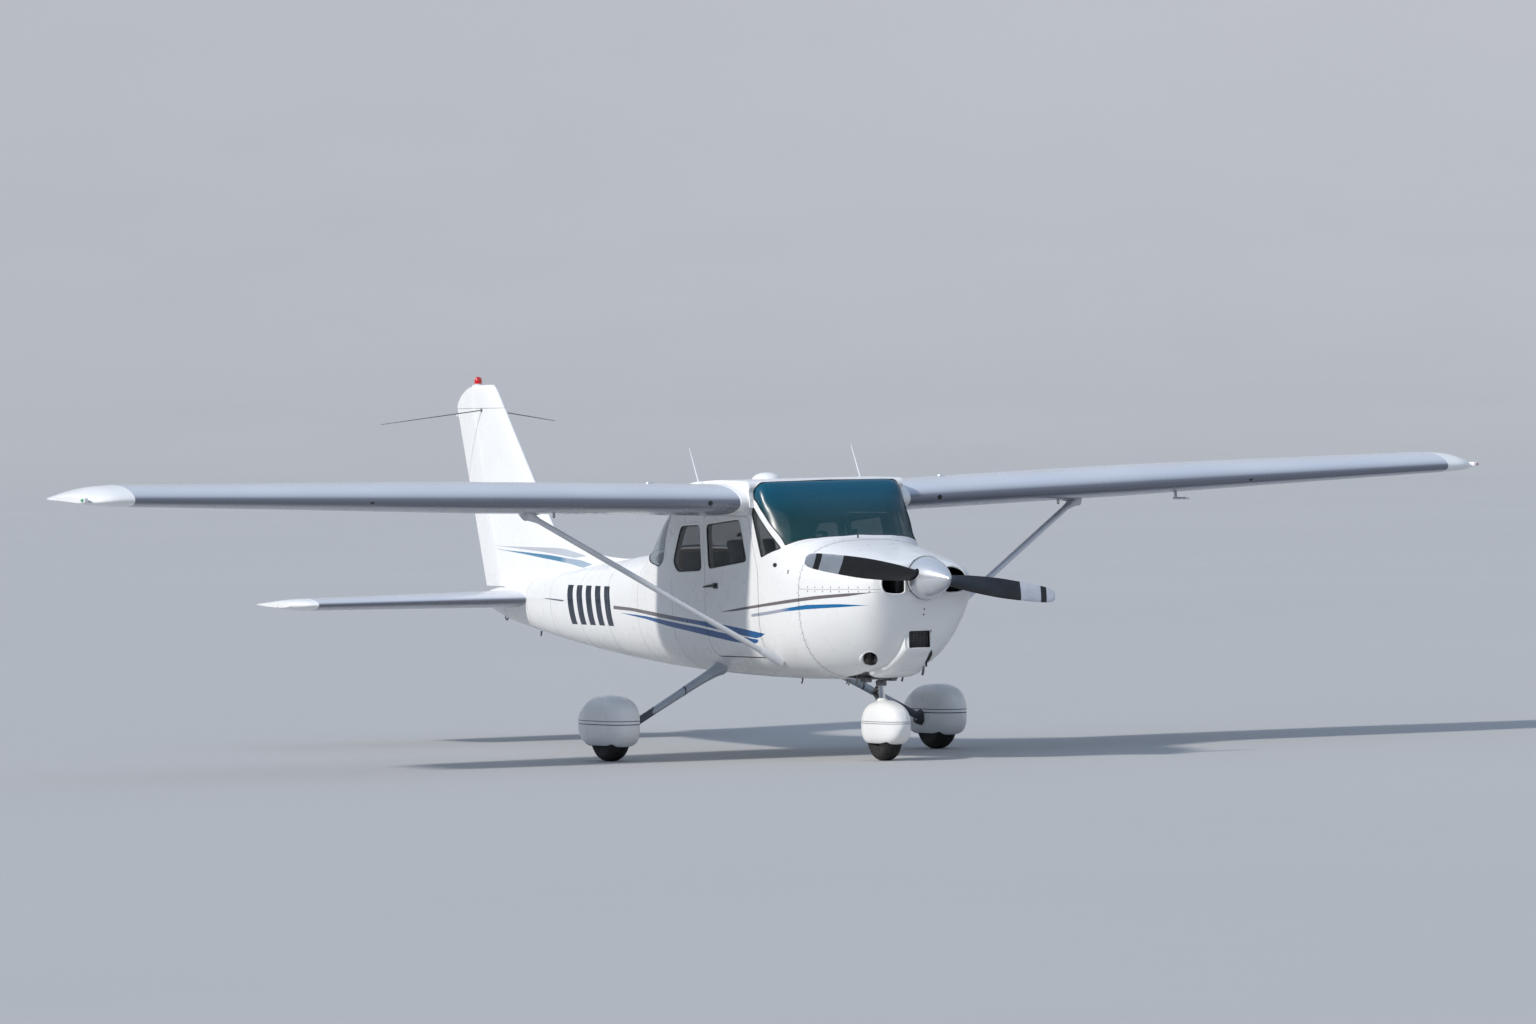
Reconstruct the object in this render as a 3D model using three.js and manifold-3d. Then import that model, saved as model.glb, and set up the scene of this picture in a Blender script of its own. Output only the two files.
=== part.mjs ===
// A four-seat light aircraft with a strut-braced high wing and a fixed nosewheel gear.
// Millimetres. +Z is up, the nose points to -Y and the port side is +X.
// Lengths along Y are counted aft of the firewall, and the whole aircraft is then moved so that
// its origin lies on the ground below the middle of its overall length.
import * as THREE from 'three';
import { mergeVertices } from 'three/addons/utils/BufferGeometryUtils.js';
import { LoftGeometry } from 'three/addons/geometries/LoftGeometry.js';
import Module from 'manifold-3d';

const wasm = await Module();
wasm.setup();

// Driving dimensions
const SEAM = 0.3; // gap between pieces that touch
const CLEARANCE = 7; // gap round a piece that moves
const OVERALL = { nose: - 1240, tail: 6818 };
const BOTH = [ - 800, 800 ]; // across the whole fuselage
const PORT = [ 150, 800 ]; // across its port side only

// How finely round things are drawn
const BODY_POINTS = 24;
const FAIRING_POINTS = 16;
const LEG_POINTS = 16;
const WHEEL_SIDES = 20;
const SPINNER_SIDES = 18;
const HUB_SIDES = 24;
const TUBE_SIDES = 24;
const PIN_SIDES = 12;
const NOSE_SHARES = [ 0.015, 0.06, 0.15, 0.30, 0.52, 0.78 ]; // of the way to the hinge

// Fuselage stations: the outer skin is a superellipse at each one.
// mid is the height of the widest line, above and below are the roundness of each half.
const BODY = [
	{ y: - 845, half: 345, mid: 1230, top: 1368, bottom: 1085, above: 2.6, below: 2.0 },
	{ y: - 800, half: 385, mid: 1225, top: 1385, bottom: 955, above: 2.6, below: 2.0 },
	{ y: - 740, half: 415, mid: 1220, top: 1400, bottom: 850, above: 2.7, below: 2.0 },
	{ y: - 620, half: 452, mid: 1210, top: 1420, bottom: 715, above: 2.8, below: 2.0 },
	{ y: - 450, half: 495, mid: 1195, top: 1450, bottom: 625, above: 2.8, below: 2.1 },
	{ y: - 220, half: 530, mid: 1170, top: 1492, bottom: 580, above: 2.8, below: 2.3 },
	{ y: 0, half: 550, mid: 1150, top: 1535, bottom: 566, above: 2.8, below: 2.6 },
	{ y: 122, half: 558, mid: 1140, top: 1559, bottom: 562, above: 3.0, below: 2.8 },
	{ y: 300, half: 565, mid: 1135, top: 1704, bottom: 560, above: 3.6, below: 2.9 },
	{ y: 480, half: 570, mid: 1130, top: 1850, bottom: 558, above: 7.0, below: 3.0 },
	{ y: 606, half: 572, mid: 1130, top: 1951, bottom: 557, above: 13.0, below: 3.0 },
	{ y: 1100, half: 572, mid: 1130, top: 1955, bottom: 560, above: 10.0, below: 3.0 },
	{ y: 1500, half: 567, mid: 1125, top: 1945, bottom: 568, above: 8.0, below: 3.0 },
	{ y: 2000, half: 542, mid: 1115, top: 1885, bottom: 580, above: 5.5, below: 2.9 },
	{ y: 2270, half: 518, mid: 1105, top: 1805, bottom: 589, above: 4.5, below: 2.8 },
	{ y: 2520, half: 488, mid: 1095, top: 1645, bottom: 598, above: 3.6, below: 2.7 },
	{ y: 2800, half: 450, mid: 1085, top: 1460, bottom: 609, above: 2.8, below: 2.6 },
	{ y: 3480, half: 366, mid: 1075, top: 1398, bottom: 650, above: 2.5, below: 2.5 },
	{ y: 4400, half: 262, mid: 1075, top: 1318, bottom: 727, above: 2.3, below: 2.4 },
	{ y: 5300, half: 165, mid: 1080, top: 1232, bottom: 830, above: 2.2, below: 2.3 },
	{ y: 5900, half: 100, mid: 1080, top: 1175, bottom: 912, above: 2.1, below: 2.2 },
	{ y: 6250, half: 48, mid: 1075, top: 1130, bottom: 990, above: 2.0, below: 2.0 },
];
const COWL = { front: - 845, back: 0, seam: 1205, wall: 10, half: 700, low: 400, high: 1800 };
const INLET = { across: [ 150, 335 ], up: [ 1168, 1348 ], deep: 90 };
const INTAKE = { half: 74, up: [ 795, 905 ], back: - 500 };
const OUTLET = { half: 200, along: [ - 330, - 20 ], up: [ 500, 700 ] };
const SHAFT_HOLE = 70;
const EXHAUST = { x: - 250, y: - 470, hole: 42, pipe: 28, low: 600, reach: [ 500, 900 ] };
const ENGINE = { half: 300, along: [ - 700, - 130 ], up: [ 1000, 1300 ], nose: 62, noseFront: - 887,
	banks: { half: 400, front: - 620, low: 1060 }, mount: { half: 110, up: [ 1050, 1250 ] } };
const CABIN = { front: 0, back: 2800, side: 42, ceiling: 90, floor: 110, firewall: 10,
	roofed: { from: 606, to: 2520, fadeIn: 200, fadeOut: 300 } };
const TAIL = { front: 2800, hollowTo: 5900, back: 6250, wall: 10 };

// Side views of openings, as [ y, z ] corners
const OPENING = {
	windscreen: [ [ 108, 1566 ], [ 193, 1547 ], [ 270, 1508 ], [ 447, 1662 ], [ 590, 1812 ], [ 606, 1860 ],
		[ 606, 2100 ], [ - 60, 2100 ], [ - 60, 1680 ] ],
	quarter: [ [ 658, 1690 ], [ 628, 1775 ], [ 296, 1479 ], [ 545, 1420 ] ],
	door: [ [ 590, 720 ], [ 590, 1330 ], [ 622, 1400 ], [ 735, 1706 ], [ 1440, 1706 ], [ 1440, 760 ],
		[ 1400, 720 ] ],
	doorWindow: [ [ 856, 1688 ], [ 750, 1390 ], [ 1375, 1333 ], [ 1400, 1650 ] ],
	rearSide: [ [ 1507, 1648 ], [ 1486, 1320 ], [ 1925, 1307 ], [ 2008, 1380 ], [ 1858, 1638 ] ],
	rear: [ [ 2120, 1705 ], [ 2195, 1395 ], [ 2290, 1345 ], [ 2500, 1372 ], [ 2745, 1470 ], [ 2745, 1900 ],
		[ 2290, 1900 ], [ 2225, 1790 ] ],
	baggage: [ [ 2080, 900 ], [ 2080, 1250 ], [ 2560, 1250 ], [ 2560, 940 ], [ 2520, 900 ] ],
};
const KNUCKLE = { radius: 6, tall: 30, reach: 20, lug: [ 3, 12 ] };
const DOOR_HINGE = { x: 579, y: 587, levels: [ 985, 1290 ] };
const BAGGAGE_HINGE = { x: 542, y: 2077, levels: [ 970, 1150 ] };
const GLASS = { deep: 3, thick: 6, gap: 0.4 };
const FRAME_RADIUS = 45;

// The wing: one airfoil, scaled by the chord at each station.
// x is the distance from the centre line, front the leading edge, rise the height of the chord line there.
const WING = [
	{ x: 605.3, front: 640, chord: 1630, rise: 1806, turn: 1.5, thick: 0.137 },
	{ x: 2560, front: 640, chord: 1630, rise: 1862, turn: 0.6, thick: 0.135 },
	{ x: 5160, front: 838, chord: 1120, rise: 1932, turn: - 1.5, thick: 0.13 },
];
const WING_TIP = [
	{ x: 5160.3, front: 838, chord: 1120, rise: 1932, turn: - 1.5, thick: 0.13 },
	{ x: 5290, front: 855, chord: 1075, rise: 1932, turn: - 1.5, thick: 0.12 },
	{ x: 5390, front: 915, chord: 930, rise: 1928, turn: - 1.5, thick: 0.10 },
	{ x: 5455, front: 1060, chord: 600, rise: 1925, turn: - 1.5, thick: 0.06 },
];
const CAMBER = { height: 0.02, place: 0.4 };
const NO_CAMBER = { height: 0, place: 0.4 };
const TRAILING_HALF = 1.5;
const HINGE_AT = 0.765; // share of the chord where ailerons and flaps turn
const FLAP = { inner: 618, outer: 2553, drop: 130, tracksAt: [ 900, 2200 ],
	track: { wide: 14, tall: 6, front: 120, back: 60, step: 6, slotGap: 0.5 } };
const AILERON = { inner: 2568, outer: 5150, bearings: [ 3000, 4700 ] };
const BEARING = { wide: 30, spread: 60, step: 15, sunk: 4 };
const ROOF = { half: 603,
	side: [ [ 622, 1716 ], [ 622, 1905 ], [ 632, 1938 ], [ 665, 1955 ], [ 1130, 1963 ], [ 1500, 1950 ],
		[ 1900, 1893 ], [ 2265, 1815 ], [ 2265, 1790 ], [ 1900, 1740 ], [ 1500, 1716 ] ] };

// The tailplane and elevator, and the fin and rudder, with symmetric sections
const TAILPLANE = { level: 1068, thick: 0.10, hinge: 6050, gap: 7,
	stations: [
		{ x: 60, front: 5290, back: 6560 },
		{ x: 1720, front: 5588, back: 6483 },
	],
	tip: { x: 1860, front: 5800, back: 6425, slim: 0.6 } };
const ELEVATOR = { inner: 135, innerBack: 300, tube: 22, tubeEnd: 145, hollowFrom: 330, hollowTo: 1710,
	notch: [ [ - 10, 5900 ], [ 135, 5900 ], [ 135, 6070 ], [ 300, 6600 ], [ - 10, 6600 ] ], notchHalf: 200 };
const FIN = { hingeFoot: 5950, hingeRake: 0.372, hingeLevel: 1150, hingeShare: 0.86, gap: 8, thickBelow: 1700,
	lip: { across: 0.95, hollow: 0.85 },
	stations: [
		{ z: 1120, front: 4680 },
		{ z: 1935, front: 5455 },
		{ z: 2500, front: 5975 },
		{ z: 2620, front: 6085 },
		{ z: 2667, front: 6150, slim: 0.6 },
	],
	half: { low: 60, high: 42, highAt: 2500 },
	hollow: [
		{ z: 1110, front: 4700 },
		{ z: 1935, front: 5490 },
		{ z: 2500, front: 6010 },
		{ z: 2600, front: 6100 },
	],
	fillet: [
		{ y: 3700, half: 8, top: 1384 },
		{ y: 3900, half: 18, top: 1374 },
		{ y: 4410, half: 30, top: 1412 },
		{ y: 4770, half: 40, top: 1465 },
		{ y: 5115, half: 50, top: 1580 },
		{ y: 5300, half: 54, top: 1700 },
	],
	filletFoot: 1060,
	filletSection: [ [ 1, 0 ], [ 0.85, 0.55 ], [ 0.5, 0.88 ], [ 0, 1 ], [ - 0.5, 0.88 ], [ - 0.85, 0.55 ],
		[ - 1, 0 ] ] };
const RUDDER = { foot: 1158, footBack: 6352, knee: 2500, kneeBack: 6818, cap: 2592, capBack: 6735, capSlim: 0.9,
	top: 2652, topBack: 6580, topSlim: 0.65, hollowFrom: 1200, hollowTo: 2480, pin: 10, pinDeep: 18, pinTall: 20,
	swept: [ [ 5880, 1150 ], [ 6400, 1150 ], [ 6400, 1300 ], [ 5880, 1300 ] ], sweptHalf: 150 };
const RUDDER_SIDE = [ [ 1, 0 ], [ 0.62, 0.45 ] ]; // shares of the nose radius and of the way to the back
const RUDDER_NOSE = [ 150, 120, 90, 60, 30 ];
const FIN_SHARES = [ 0.02, 0.08, 0.2, 0.4, 0.65 ]; // of the way from the leading edge to the hinge
const FULL_FROM = 0.4; // share where the fin reaches its full thickness
const SKIN = 7; // thickness of the hollow tail surfaces
const SKIN_SHARES = [ 0.12, 0.3, 0.6, 1 ]; // of the way from the leading edge to the hinge
const DRAIN = { half: 9, from: 90, to: 120 }; // slot in an end rib, counted aft of the hinge

const STRUT = { low: [ 470, 480, 690 ], high: [ 2180, 1000, 1775 ], chord: 120, thick: 52, fullest: 0.6 };

// Landing gear
const MAIN = { x: 1293, y: 1524, radius: 215, width: 152, rim: 82, axle: 17, axleEnds: [ 1125, 1415 ] };
const BRAKE_DISC = { ends: [ 1190, 1205 ], radius: 46 };
const NOSE = { y: - 195, radius: 178, width: 128, rim: 66, axle: 13, axleHalf: 98 };
const LEG = [
	{ at: [ 395, 1550, 640 ], long: 95, tall: 60 },
	{ at: [ 455, 1548, 606 ], long: 62, tall: 44 },
	{ at: [ 620, 1543, 519 ], long: 40, tall: 34 },
	{ at: [ 1150, 1524, 232 ], long: 30, tall: 26 },
];
const LEG_HOLE = [
	{ at: [ 1000, 1527, 313 ], long: 44, tall: 40 },
	{ at: [ 1230, 1521, 189 ], long: 44, tall: 40 },
];
const STEER = { rake: 6, top: 960, collar: 520, cylinder: 31, bore: 23, boreTop: 640,
	piston: 22, pistonLow: 370, pistonTop: 620 };
const STEER_MOUNTS = { half: 60,
	rows: [ { front: - 130, up: [ 700, 740 ] }, { front: - 110, up: [ 900, 940 ] } ] };
const FORK = { deep: 54, back: 34,
	arch: [ [ - 79, 150 ], [ - 79, 340 ], [ - 56, 378 ], [ 56, 378 ], [ 79, 340 ], [ 79, 150 ], [ 69, 150 ],
		[ 69, 335 ], [ 48, 363 ], [ - 48, 363 ], [ - 69, 335 ], [ - 69, 150 ] ] };

// Wheel fairings: y is counted from the axle, and opening is what is cut out below for the tyre
const MAIN_FAIRING = { opening: { half: 92, long: 222, up: [ 60, 200 ] },
	rows: [
		{ y: - 350, half: 22, top: 310, bottom: 255 },
		{ y: - 320, half: 72, top: 375, bottom: 172 },
		{ y: - 232, half: 115, top: 440, bottom: 105 },
		{ y: - 76, half: 127, top: 465, bottom: 91 },
		{ y: 120, half: 126, top: 455, bottom: 91 },
		{ y: 305, half: 95, top: 396, bottom: 124 },
		{ y: 425, half: 40, top: 325, bottom: 208 },
	] };
const NOSE_FAIRING = { opening: { half: 78, long: 186, up: [ 60, 180 ] }, pistonHole: [ 330, 460 ],
	rows: [
		{ y: - 306, half: 20, top: 276, bottom: 232 },
		{ y: - 273, half: 62, top: 338, bottom: 160 },
		{ y: - 183, half: 98, top: 393, bottom: 116 },
		{ y: - 41, half: 110, top: 420, bottom: 106 },
		{ y: 100, half: 107, top: 406, bottom: 106 },
		{ y: 205, half: 78, top: 348, bottom: 140 },
		{ y: 261, half: 28, top: 284, bottom: 215 },
	] };
const FAIRING_ROUND = { above: 2.6, below: 3.4 };
const FAIRING_WALL = 8;

// Propeller and spinner, with their sizes counted from the shaft
const PROP = { line: 1275, y: - 945, angle: - 9, hub: 68, hubFront: - 45, hubBack: 58 };
const BLADE = [
	{ at: 60, chord: 84, thick: 0.50, pitch: 48 },
	{ at: 150, chord: 104, thick: 0.34, pitch: 44 },
	{ at: 300, chord: 138, thick: 0.20, pitch: 35 },
	{ at: 520, chord: 152, thick: 0.13, pitch: 26 },
	{ at: 760, chord: 134, thick: 0.10, pitch: 20 },
	{ at: 900, chord: 112, thick: 0.09, pitch: 17 },
	{ at: 955, chord: 86, thick: 0.09, pitch: 16 },
	{ at: 975, chord: 46, thick: 0.10, pitch: 16 },
];
const BLADE_FULLEST = 0.75;
const BLADE_SLOT = { rows: 3, gap: 8 };
const SPINNER = [ [ 0, - 1240 ], [ 26, - 1212 ], [ 62, - 1158 ], [ 98, - 1095 ], [ 128, - 1025 ],
	[ 147, - 945 ], [ 153, - 857 ] ];
const SPINNER_INSIDE = { rim: 149, back: - 857, tip: - 1230, thin: 5, set: 3 };
const SPINNER_WEB = { radius: 148, thick: 6 };

// Inside the cabin
const FLOOR = { along: [ 300, 2300 ], up: [ 600, 705 ] };
const PEDESTALS = [
	{ across: [ - 300, - 70 ], along: [ 780, 1180 ] },
	{ across: [ 70, 300 ], along: [ 780, 1180 ] },
	{ across: [ - 345, 345 ], along: [ 1640, 1960 ] },
];
const BULKHEAD = { along: [ 2760, 2770 ], up: [ 500, 1600 ] };
const PANEL = { along: [ 225, 262 ], up: [ 1030, 1480 ],
	shelf: [ [ 130, 1470 ], [ 350, 1470 ], [ 350, 1490 ], [ 130, 1500 ] ] };
const YOKE = { x: 255, y: 425, z: 1290, shaft: 12, grip: 13, half: 110, splay: 5, top: 1370 };
const SEAT = { across: [ 45, 460 ], level: 905,
	side: [ [ 760, 905 ], [ 1215, 905 ], [ 1390, 1560 ], [ 1300, 1580 ], [ 1165, 1040 ], [ 760, 1045 ] ] };
const BENCH = { across: [ - 460, 460 ],
	side: [ [ 1590, 905 ], [ 2030, 905 ], [ 2130, 1470 ], [ 2030, 1490 ], [ 1960, 1030 ], [ 1590, 1040 ] ] };

// Fittings on the outside
const BEACON = { y: 6435, low: 2667, stalk: 14, stalkTop: 2691, lens: 26, tall: 1.1, middle: 2703 };
const NAV_ROD = { hub: [ 36, 6290, 2478 ], tip: [ 722, 6635, 2385 ], radius: 5, thin: 0.6 };
const DOME = { y: 1579, z: 1936, radius: 105, tall: 68, long: 1.3 };
const PITOT = { x: 2900, y: 850, low: 1752, root: 1900, lean: 20, forward: 220, stem: 9, tube: 8 };

// Plain building blocks
function solid( geometry ) {

	const bare = new THREE.BufferGeometry();
	bare.setAttribute( 'position', geometry.getAttribute( 'position' ) );
	bare.setIndex( geometry.getIndex() );
	const merged = mergeVertices( bare, 1e-3 );
	return new wasm.Manifold( new wasm.Mesh( {
		numProp: 3,
		vertProperties: merged.attributes.position.array,
		triVerts: new Uint32Array( merged.index.array ),
	} ) );

}

function geometryOf( made ) {

	const mesh = made.getMesh();
	const geometry = new THREE.BufferGeometry();
	geometry.setAttribute( 'position', new THREE.BufferAttribute( mesh.vertProperties, 3 ) );
	geometry.setIndex( new THREE.BufferAttribute( mesh.triVerts, 1 ) );
	geometry.computeVertexNormals();
	return geometry;

}

function loft( rings ) {

	return solid( new LoftGeometry( rings, { capStart: true, capEnd: true } ) );

}

// A polygon of [ a, b ] corners, rounded where a radius is given
function outline( corners, radius = 0 ) {

	const points = corners.map( ( [ a, b ] ) => new THREE.Vector2( a, b ) );
	if ( THREE.ShapeUtils.isClockWise( points ) ) points.reverse();
	if ( radius === 0 ) return new THREE.Shape( points );
	const path = new THREE.Shape();
	points.forEach( ( corner, i ) => {

		const before = points[ ( i + points.length - 1 ) % points.length ];
		const after = points[ ( i + 1 ) % points.length ];
		const start = corner.clone().lerp( before, radius / corner.distanceTo( before ) );
		const end = corner.clone().lerp( after, radius / corner.distanceTo( after ) );
		if ( i === 0 ) path.moveTo( start.x, start.y );
		else path.lineTo( start.x, start.y );
		path.quadraticCurveTo( corner.x, corner.y, end.x, end.y );

	} );
	return path;

}

// A side view outline, [ y, z ], pushed along X
function sidePrism( corners, from, to, radius = 0 ) {

	const geometry = new THREE.ExtrudeGeometry( outline( corners, radius ),
		{ depth: to - from, bevelEnabled: false, curveSegments: 3 } );
	const turn = new THREE.Matrix4().makeBasis(
		new THREE.Vector3( 0, 1, 0 ), new THREE.Vector3( 0, 0, 1 ), new THREE.Vector3( 1, 0, 0 ) );
	geometry.applyMatrix4( turn ).translate( from, 0, 0 );
	return solid( geometry );

}

function box( x, y, z ) {

	const geometry = new THREE.BoxGeometry( x[ 1 ] - x[ 0 ], y[ 1 ] - y[ 0 ], z[ 1 ] - z[ 0 ] );
	geometry.translate( ( x[ 0 ] + x[ 1 ] ) / 2, ( y[ 0 ] + y[ 1 ] ) / 2, ( z[ 0 ] + z[ 1 ] ) / 2 );
	return solid( geometry );

}

function withAll( made, pieces ) {

	return pieces.reduce( ( sum, piece ) => sum.add( piece ), made );

}

function withoutAll( made, pieces ) {

	return pieces.reduce( ( left, piece ) => left.subtract( piece ), made );

}

// A round bar between two points
function bar( from, to, radius, sides = 16, endRadius = radius ) {

	const a = new THREE.Vector3( ...from );
	const b = new THREE.Vector3( ...to );
	const geometry = new THREE.CylinderGeometry( endRadius, radius, a.distanceTo( b ), sides );
	const turn = new THREE.Quaternion().setFromUnitVectors(
		new THREE.Vector3( 0, 1, 0 ), b.clone().sub( a ).normalize() );
	geometry.applyQuaternion( turn );
	geometry.translate( ...a.add( b ).divideScalar( 2 ).toArray() );
	return solid( geometry );

}

// A profile of [ radius, distance ] corners turned about the X axis
function turnedOnX( profile, sides ) {

	const points = profile.map( ( [ radius, distance ] ) => new THREE.Vector2( radius, distance ) );
	const geometry = new THREE.LatheGeometry( points, sides );
	geometry.rotateZ( - Math.PI / 2 );
	return geometry;

}

// A block bent round an axis, between two radii and two angles, which count from aft through up
function arcBlock( start, end, radii, angles, step ) {

	const axis = end.clone().sub( start ).normalize();
	const up = new THREE.Vector3( 0, 0, 1 ).addScaledVector( axis, - axis.z ).normalize();
	const aft = up.clone().cross( axis );
	const steps = Math.round( ( angles[ 1 ] - angles[ 0 ] ) / step );
	const turns = Array.from( { length: steps + 1 }, ( _, i ) =>
		THREE.MathUtils.degToRad( angles[ 0 ] + ( angles[ 1 ] - angles[ 0 ] ) * i / steps ) );
	const place = ( centre, radius, turn ) => centre.clone()
		.addScaledVector( aft, radius * Math.cos( turn ) ).addScaledVector( up, radius * Math.sin( turn ) );
	const ring = centre => [ ...turns.map( turn => place( centre, radii[ 1 ], turn ) ),
		...turns.map( turn => place( centre, radii[ 0 ], turn ) ).reverse() ];
	return loft( [ ring( start ), ring( end ) ] );

}

// The radius of a faceted bore that clears a shaft at every turn
function boreFor( radius, sides ) {

	return ( radius + SEAM ) / Math.cos( Math.PI / sides );

}

// One knuckle of an upright hinge: a barrel on the axis, and the lug that holds it
function knuckle( x, y, low, high, toward ) {

	const lug = KNUCKLE.lug.map( from => y + from * toward ).sort( ( a, b ) => a - b );
	return bar( [ x, y, low ], [ x, y, high ], KNUCKLE.radius, 8 )
		.add( box( [ x - KNUCKLE.reach, x ], lug, [ low, high ] ) );

}

// Corners of an outline moved outwards from its middle by a distance
function grown( corners, distance ) {

	const points = corners.map( ( [ a, b ] ) => new THREE.Vector2( a, b ) );
	const turn = THREE.ShapeUtils.isClockWise( points ) ? - 1 : 1;
	return points.map( ( corner, i ) => {

		const before = points[ ( i + points.length - 1 ) % points.length ];
		const after = points[ ( i + 1 ) % points.length ];
		const first = corner.clone().sub( before ).normalize();
		const second = after.clone().sub( corner ).normalize();
		const normal = new THREE.Vector2( first.y + second.y, - first.x - second.x ).normalize();
		const stretch = distance * turn / normal.dot( new THREE.Vector2( first.y, - first.x ) );
		return [ corner.x + normal.x * stretch, corner.y + normal.y * stretch ];

	} );

}

// A row worked out between two rows of a table, by one of its columns
function between( before, after, column, value ) {

	const share = ( value - before[ column ] ) / ( after[ column ] - before[ column ] );
	const mixed = Object.keys( before ).map( key =>
		[ key, before[ key ] + share * ( after[ key ] - before[ key ] ) ] );
	return Object.fromEntries( mixed );

}

// Fuselage sections
function stationAt( y ) {

	const found = BODY.findIndex( row => row.y > y );
	const next = found < 0 ? BODY.length - 1 : Math.max( found, 1 );
	return between( BODY[ next - 1 ], BODY[ next ], 'y', y );

}

function bodyRing( y, wall ) {

	const row = stationAt( y );
	const ring = [];
	for ( let i = 0; i < BODY_POINTS; i ++ ) {

		const angle = i / BODY_POINTS * Math.PI * 2;
		const across = Math.cos( angle );
		const up = Math.sin( angle );
		const power = 2 / ( up >= 0 ? row.above : row.below );
		const height = up >= 0 ? row.top - wall.top - row.mid : row.mid - row.bottom - wall.bottom;
		ring.push( new THREE.Vector3(
			- ( row.half - wall.side ) * Math.sign( across ) * Math.abs( across ) ** power,
			y,
			row.mid + height * Math.sign( up ) * Math.abs( up ) ** power ) );

	}

	return ring;

}

// The part of the fuselage between two stations, each side drawn in by its wall
function body( from, to, wallAt = () => 0 ) {

	const inside = BODY.map( row => row.y ).filter( y => y > from + 1 && y < to - 1 );
	return loft( [ from, ...inside, to ].map( y => {

		const wall = wallAt( y );
		return bodyRing( y, typeof wall === 'number' ? { side: wall, top: wall, bottom: wall } : wall );

	} ) );

}

// How thick the cabin's walls are: the roof is thicker under the wings
function cabinWall( y ) {

	const { side, ceiling, floor } = CABIN;
	const { from, to, fadeIn, fadeOut } = CABIN.roofed;
	const opening = THREE.MathUtils.clamp( ( y - from ) / fadeIn, 0, 1 );
	const closing = THREE.MathUtils.clamp( ( to - y ) / fadeOut, 0, 1 );
	return { side, top: THREE.MathUtils.lerp( side, ceiling, opening * closing ), bottom: floor };

}

// Airfoil sections, in shares of the chord
function halfThickness( share, thick ) {

	const terms = [ 0.2969 * Math.sqrt( share ), - 0.126 * share, - 0.3516 * share ** 2, 0.2843 * share ** 3,
		- 0.1036 * share ** 4 ];
	return 5 * thick * terms.reduce( ( sum, term ) => sum + term, 0 );

}

function camberAt( share, camber ) {

	const { height, place } = camber;
	if ( share < place ) return height / place ** 2 * ( 2 * place * share - share ** 2 );
	return height / ( 1 - place ) ** 2 * ( 1 - 2 * place + 2 * place * share - share ** 2 );

}

// One closed section of a surface that carries a hinge, as [ along, up ] points in millimetres from
// the leading edge. part is whole, front (up to the hollow for the hinge) or back (from the hinge on).
function foil( part, chord, thick, camber, hingeShare, gap ) {

	const point = ( share, side ) => [ share * chord,
		( camberAt( share, camber ) + side * halfThickness( share, thick ) ) * chord ];
	const centre = [ hingeShare * chord, camberAt( hingeShare, camber ) * chord ];
	const round = halfThickness( hingeShare, thick ) * chord;
	const arc = ( radius, from, to, steps ) => Array.from( { length: steps + 1 }, ( _, i ) => {

		const angle = THREE.MathUtils.degToRad( from + ( to - from ) * i / steps );
		return [ centre[ 0 ] + radius * Math.cos( angle ), centre[ 1 ] + radius * Math.sin( angle ) ];

	} );
	const end = camberAt( 1, camber ) * chord;
	if ( part === 'back' ) {

		return [ [ chord, end + TRAILING_HALF ], point( ( 1 + hingeShare ) / 2, 1 ), ...arc( round, 90, 270, 8 ),
			point( ( 1 + hingeShare ) / 2, - 1 ), [ chord, end - TRAILING_HALF ] ];

	}

	const lipAngle = 180 - THREE.MathUtils.radToDeg( Math.asin( ( round * 0.93 - 1 ) / ( round + gap ) ) );
	const hollow = arc( round + gap, 360 - lipAngle, lipAngle, 6 );
	const lipShare = part === 'whole' ? hingeShare : hollow[ 0 ][ 0 ] / chord;
	const upper = NOSE_SHARES.map( share => point( share * lipShare, 1 ) ).reverse();
	const lower = NOSE_SHARES.map( share => point( share * lipShare, - 1 ) );
	if ( part === 'whole' ) {

		return [ [ chord, end + TRAILING_HALF ], point( hingeShare, 1 ), ...upper, point( 0, 1 ), ...lower,
			point( hingeShare, - 1 ), [ chord, end - TRAILING_HALF ] ];

	}

	return [ point( lipShare, 1 ), ...upper, point( 0, 1 ), ...lower, point( lipShare, - 1 ), ...hollow ];

}

// A foil section stood up at a wing station
function wingRing( station, part ) {

	const turn = THREE.MathUtils.degToRad( - station.turn );
	return foil( part, station.chord, station.thick, CAMBER, HINGE_AT, CLEARANCE ).map( ( [ along, up ] ) =>
		new THREE.Vector3( station.x,
			station.front + along * Math.cos( turn ) - up * Math.sin( turn ),
			station.rise + along * Math.sin( turn ) + up * Math.cos( turn ) ) );

}

function wingStationAt( x ) {

	const next = Math.max( WING.findIndex( row => row.x >= x ), 1 );
	return between( WING[ next - 1 ], WING[ next ], 'x', x );

}

function wingPiece( part, xs ) {

	return loft( xs.map( x => wingRing( wingStationAt( x ), part ) ) );

}

function wholeWing() {

	return wingPiece( 'front', WING.map( row => row.x ) );

}

// The group and its finishes
const aircraft = new THREE.Group();
aircraft.position.y = - ( OVERALL.nose + OVERALL.tail ) / 2;

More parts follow.
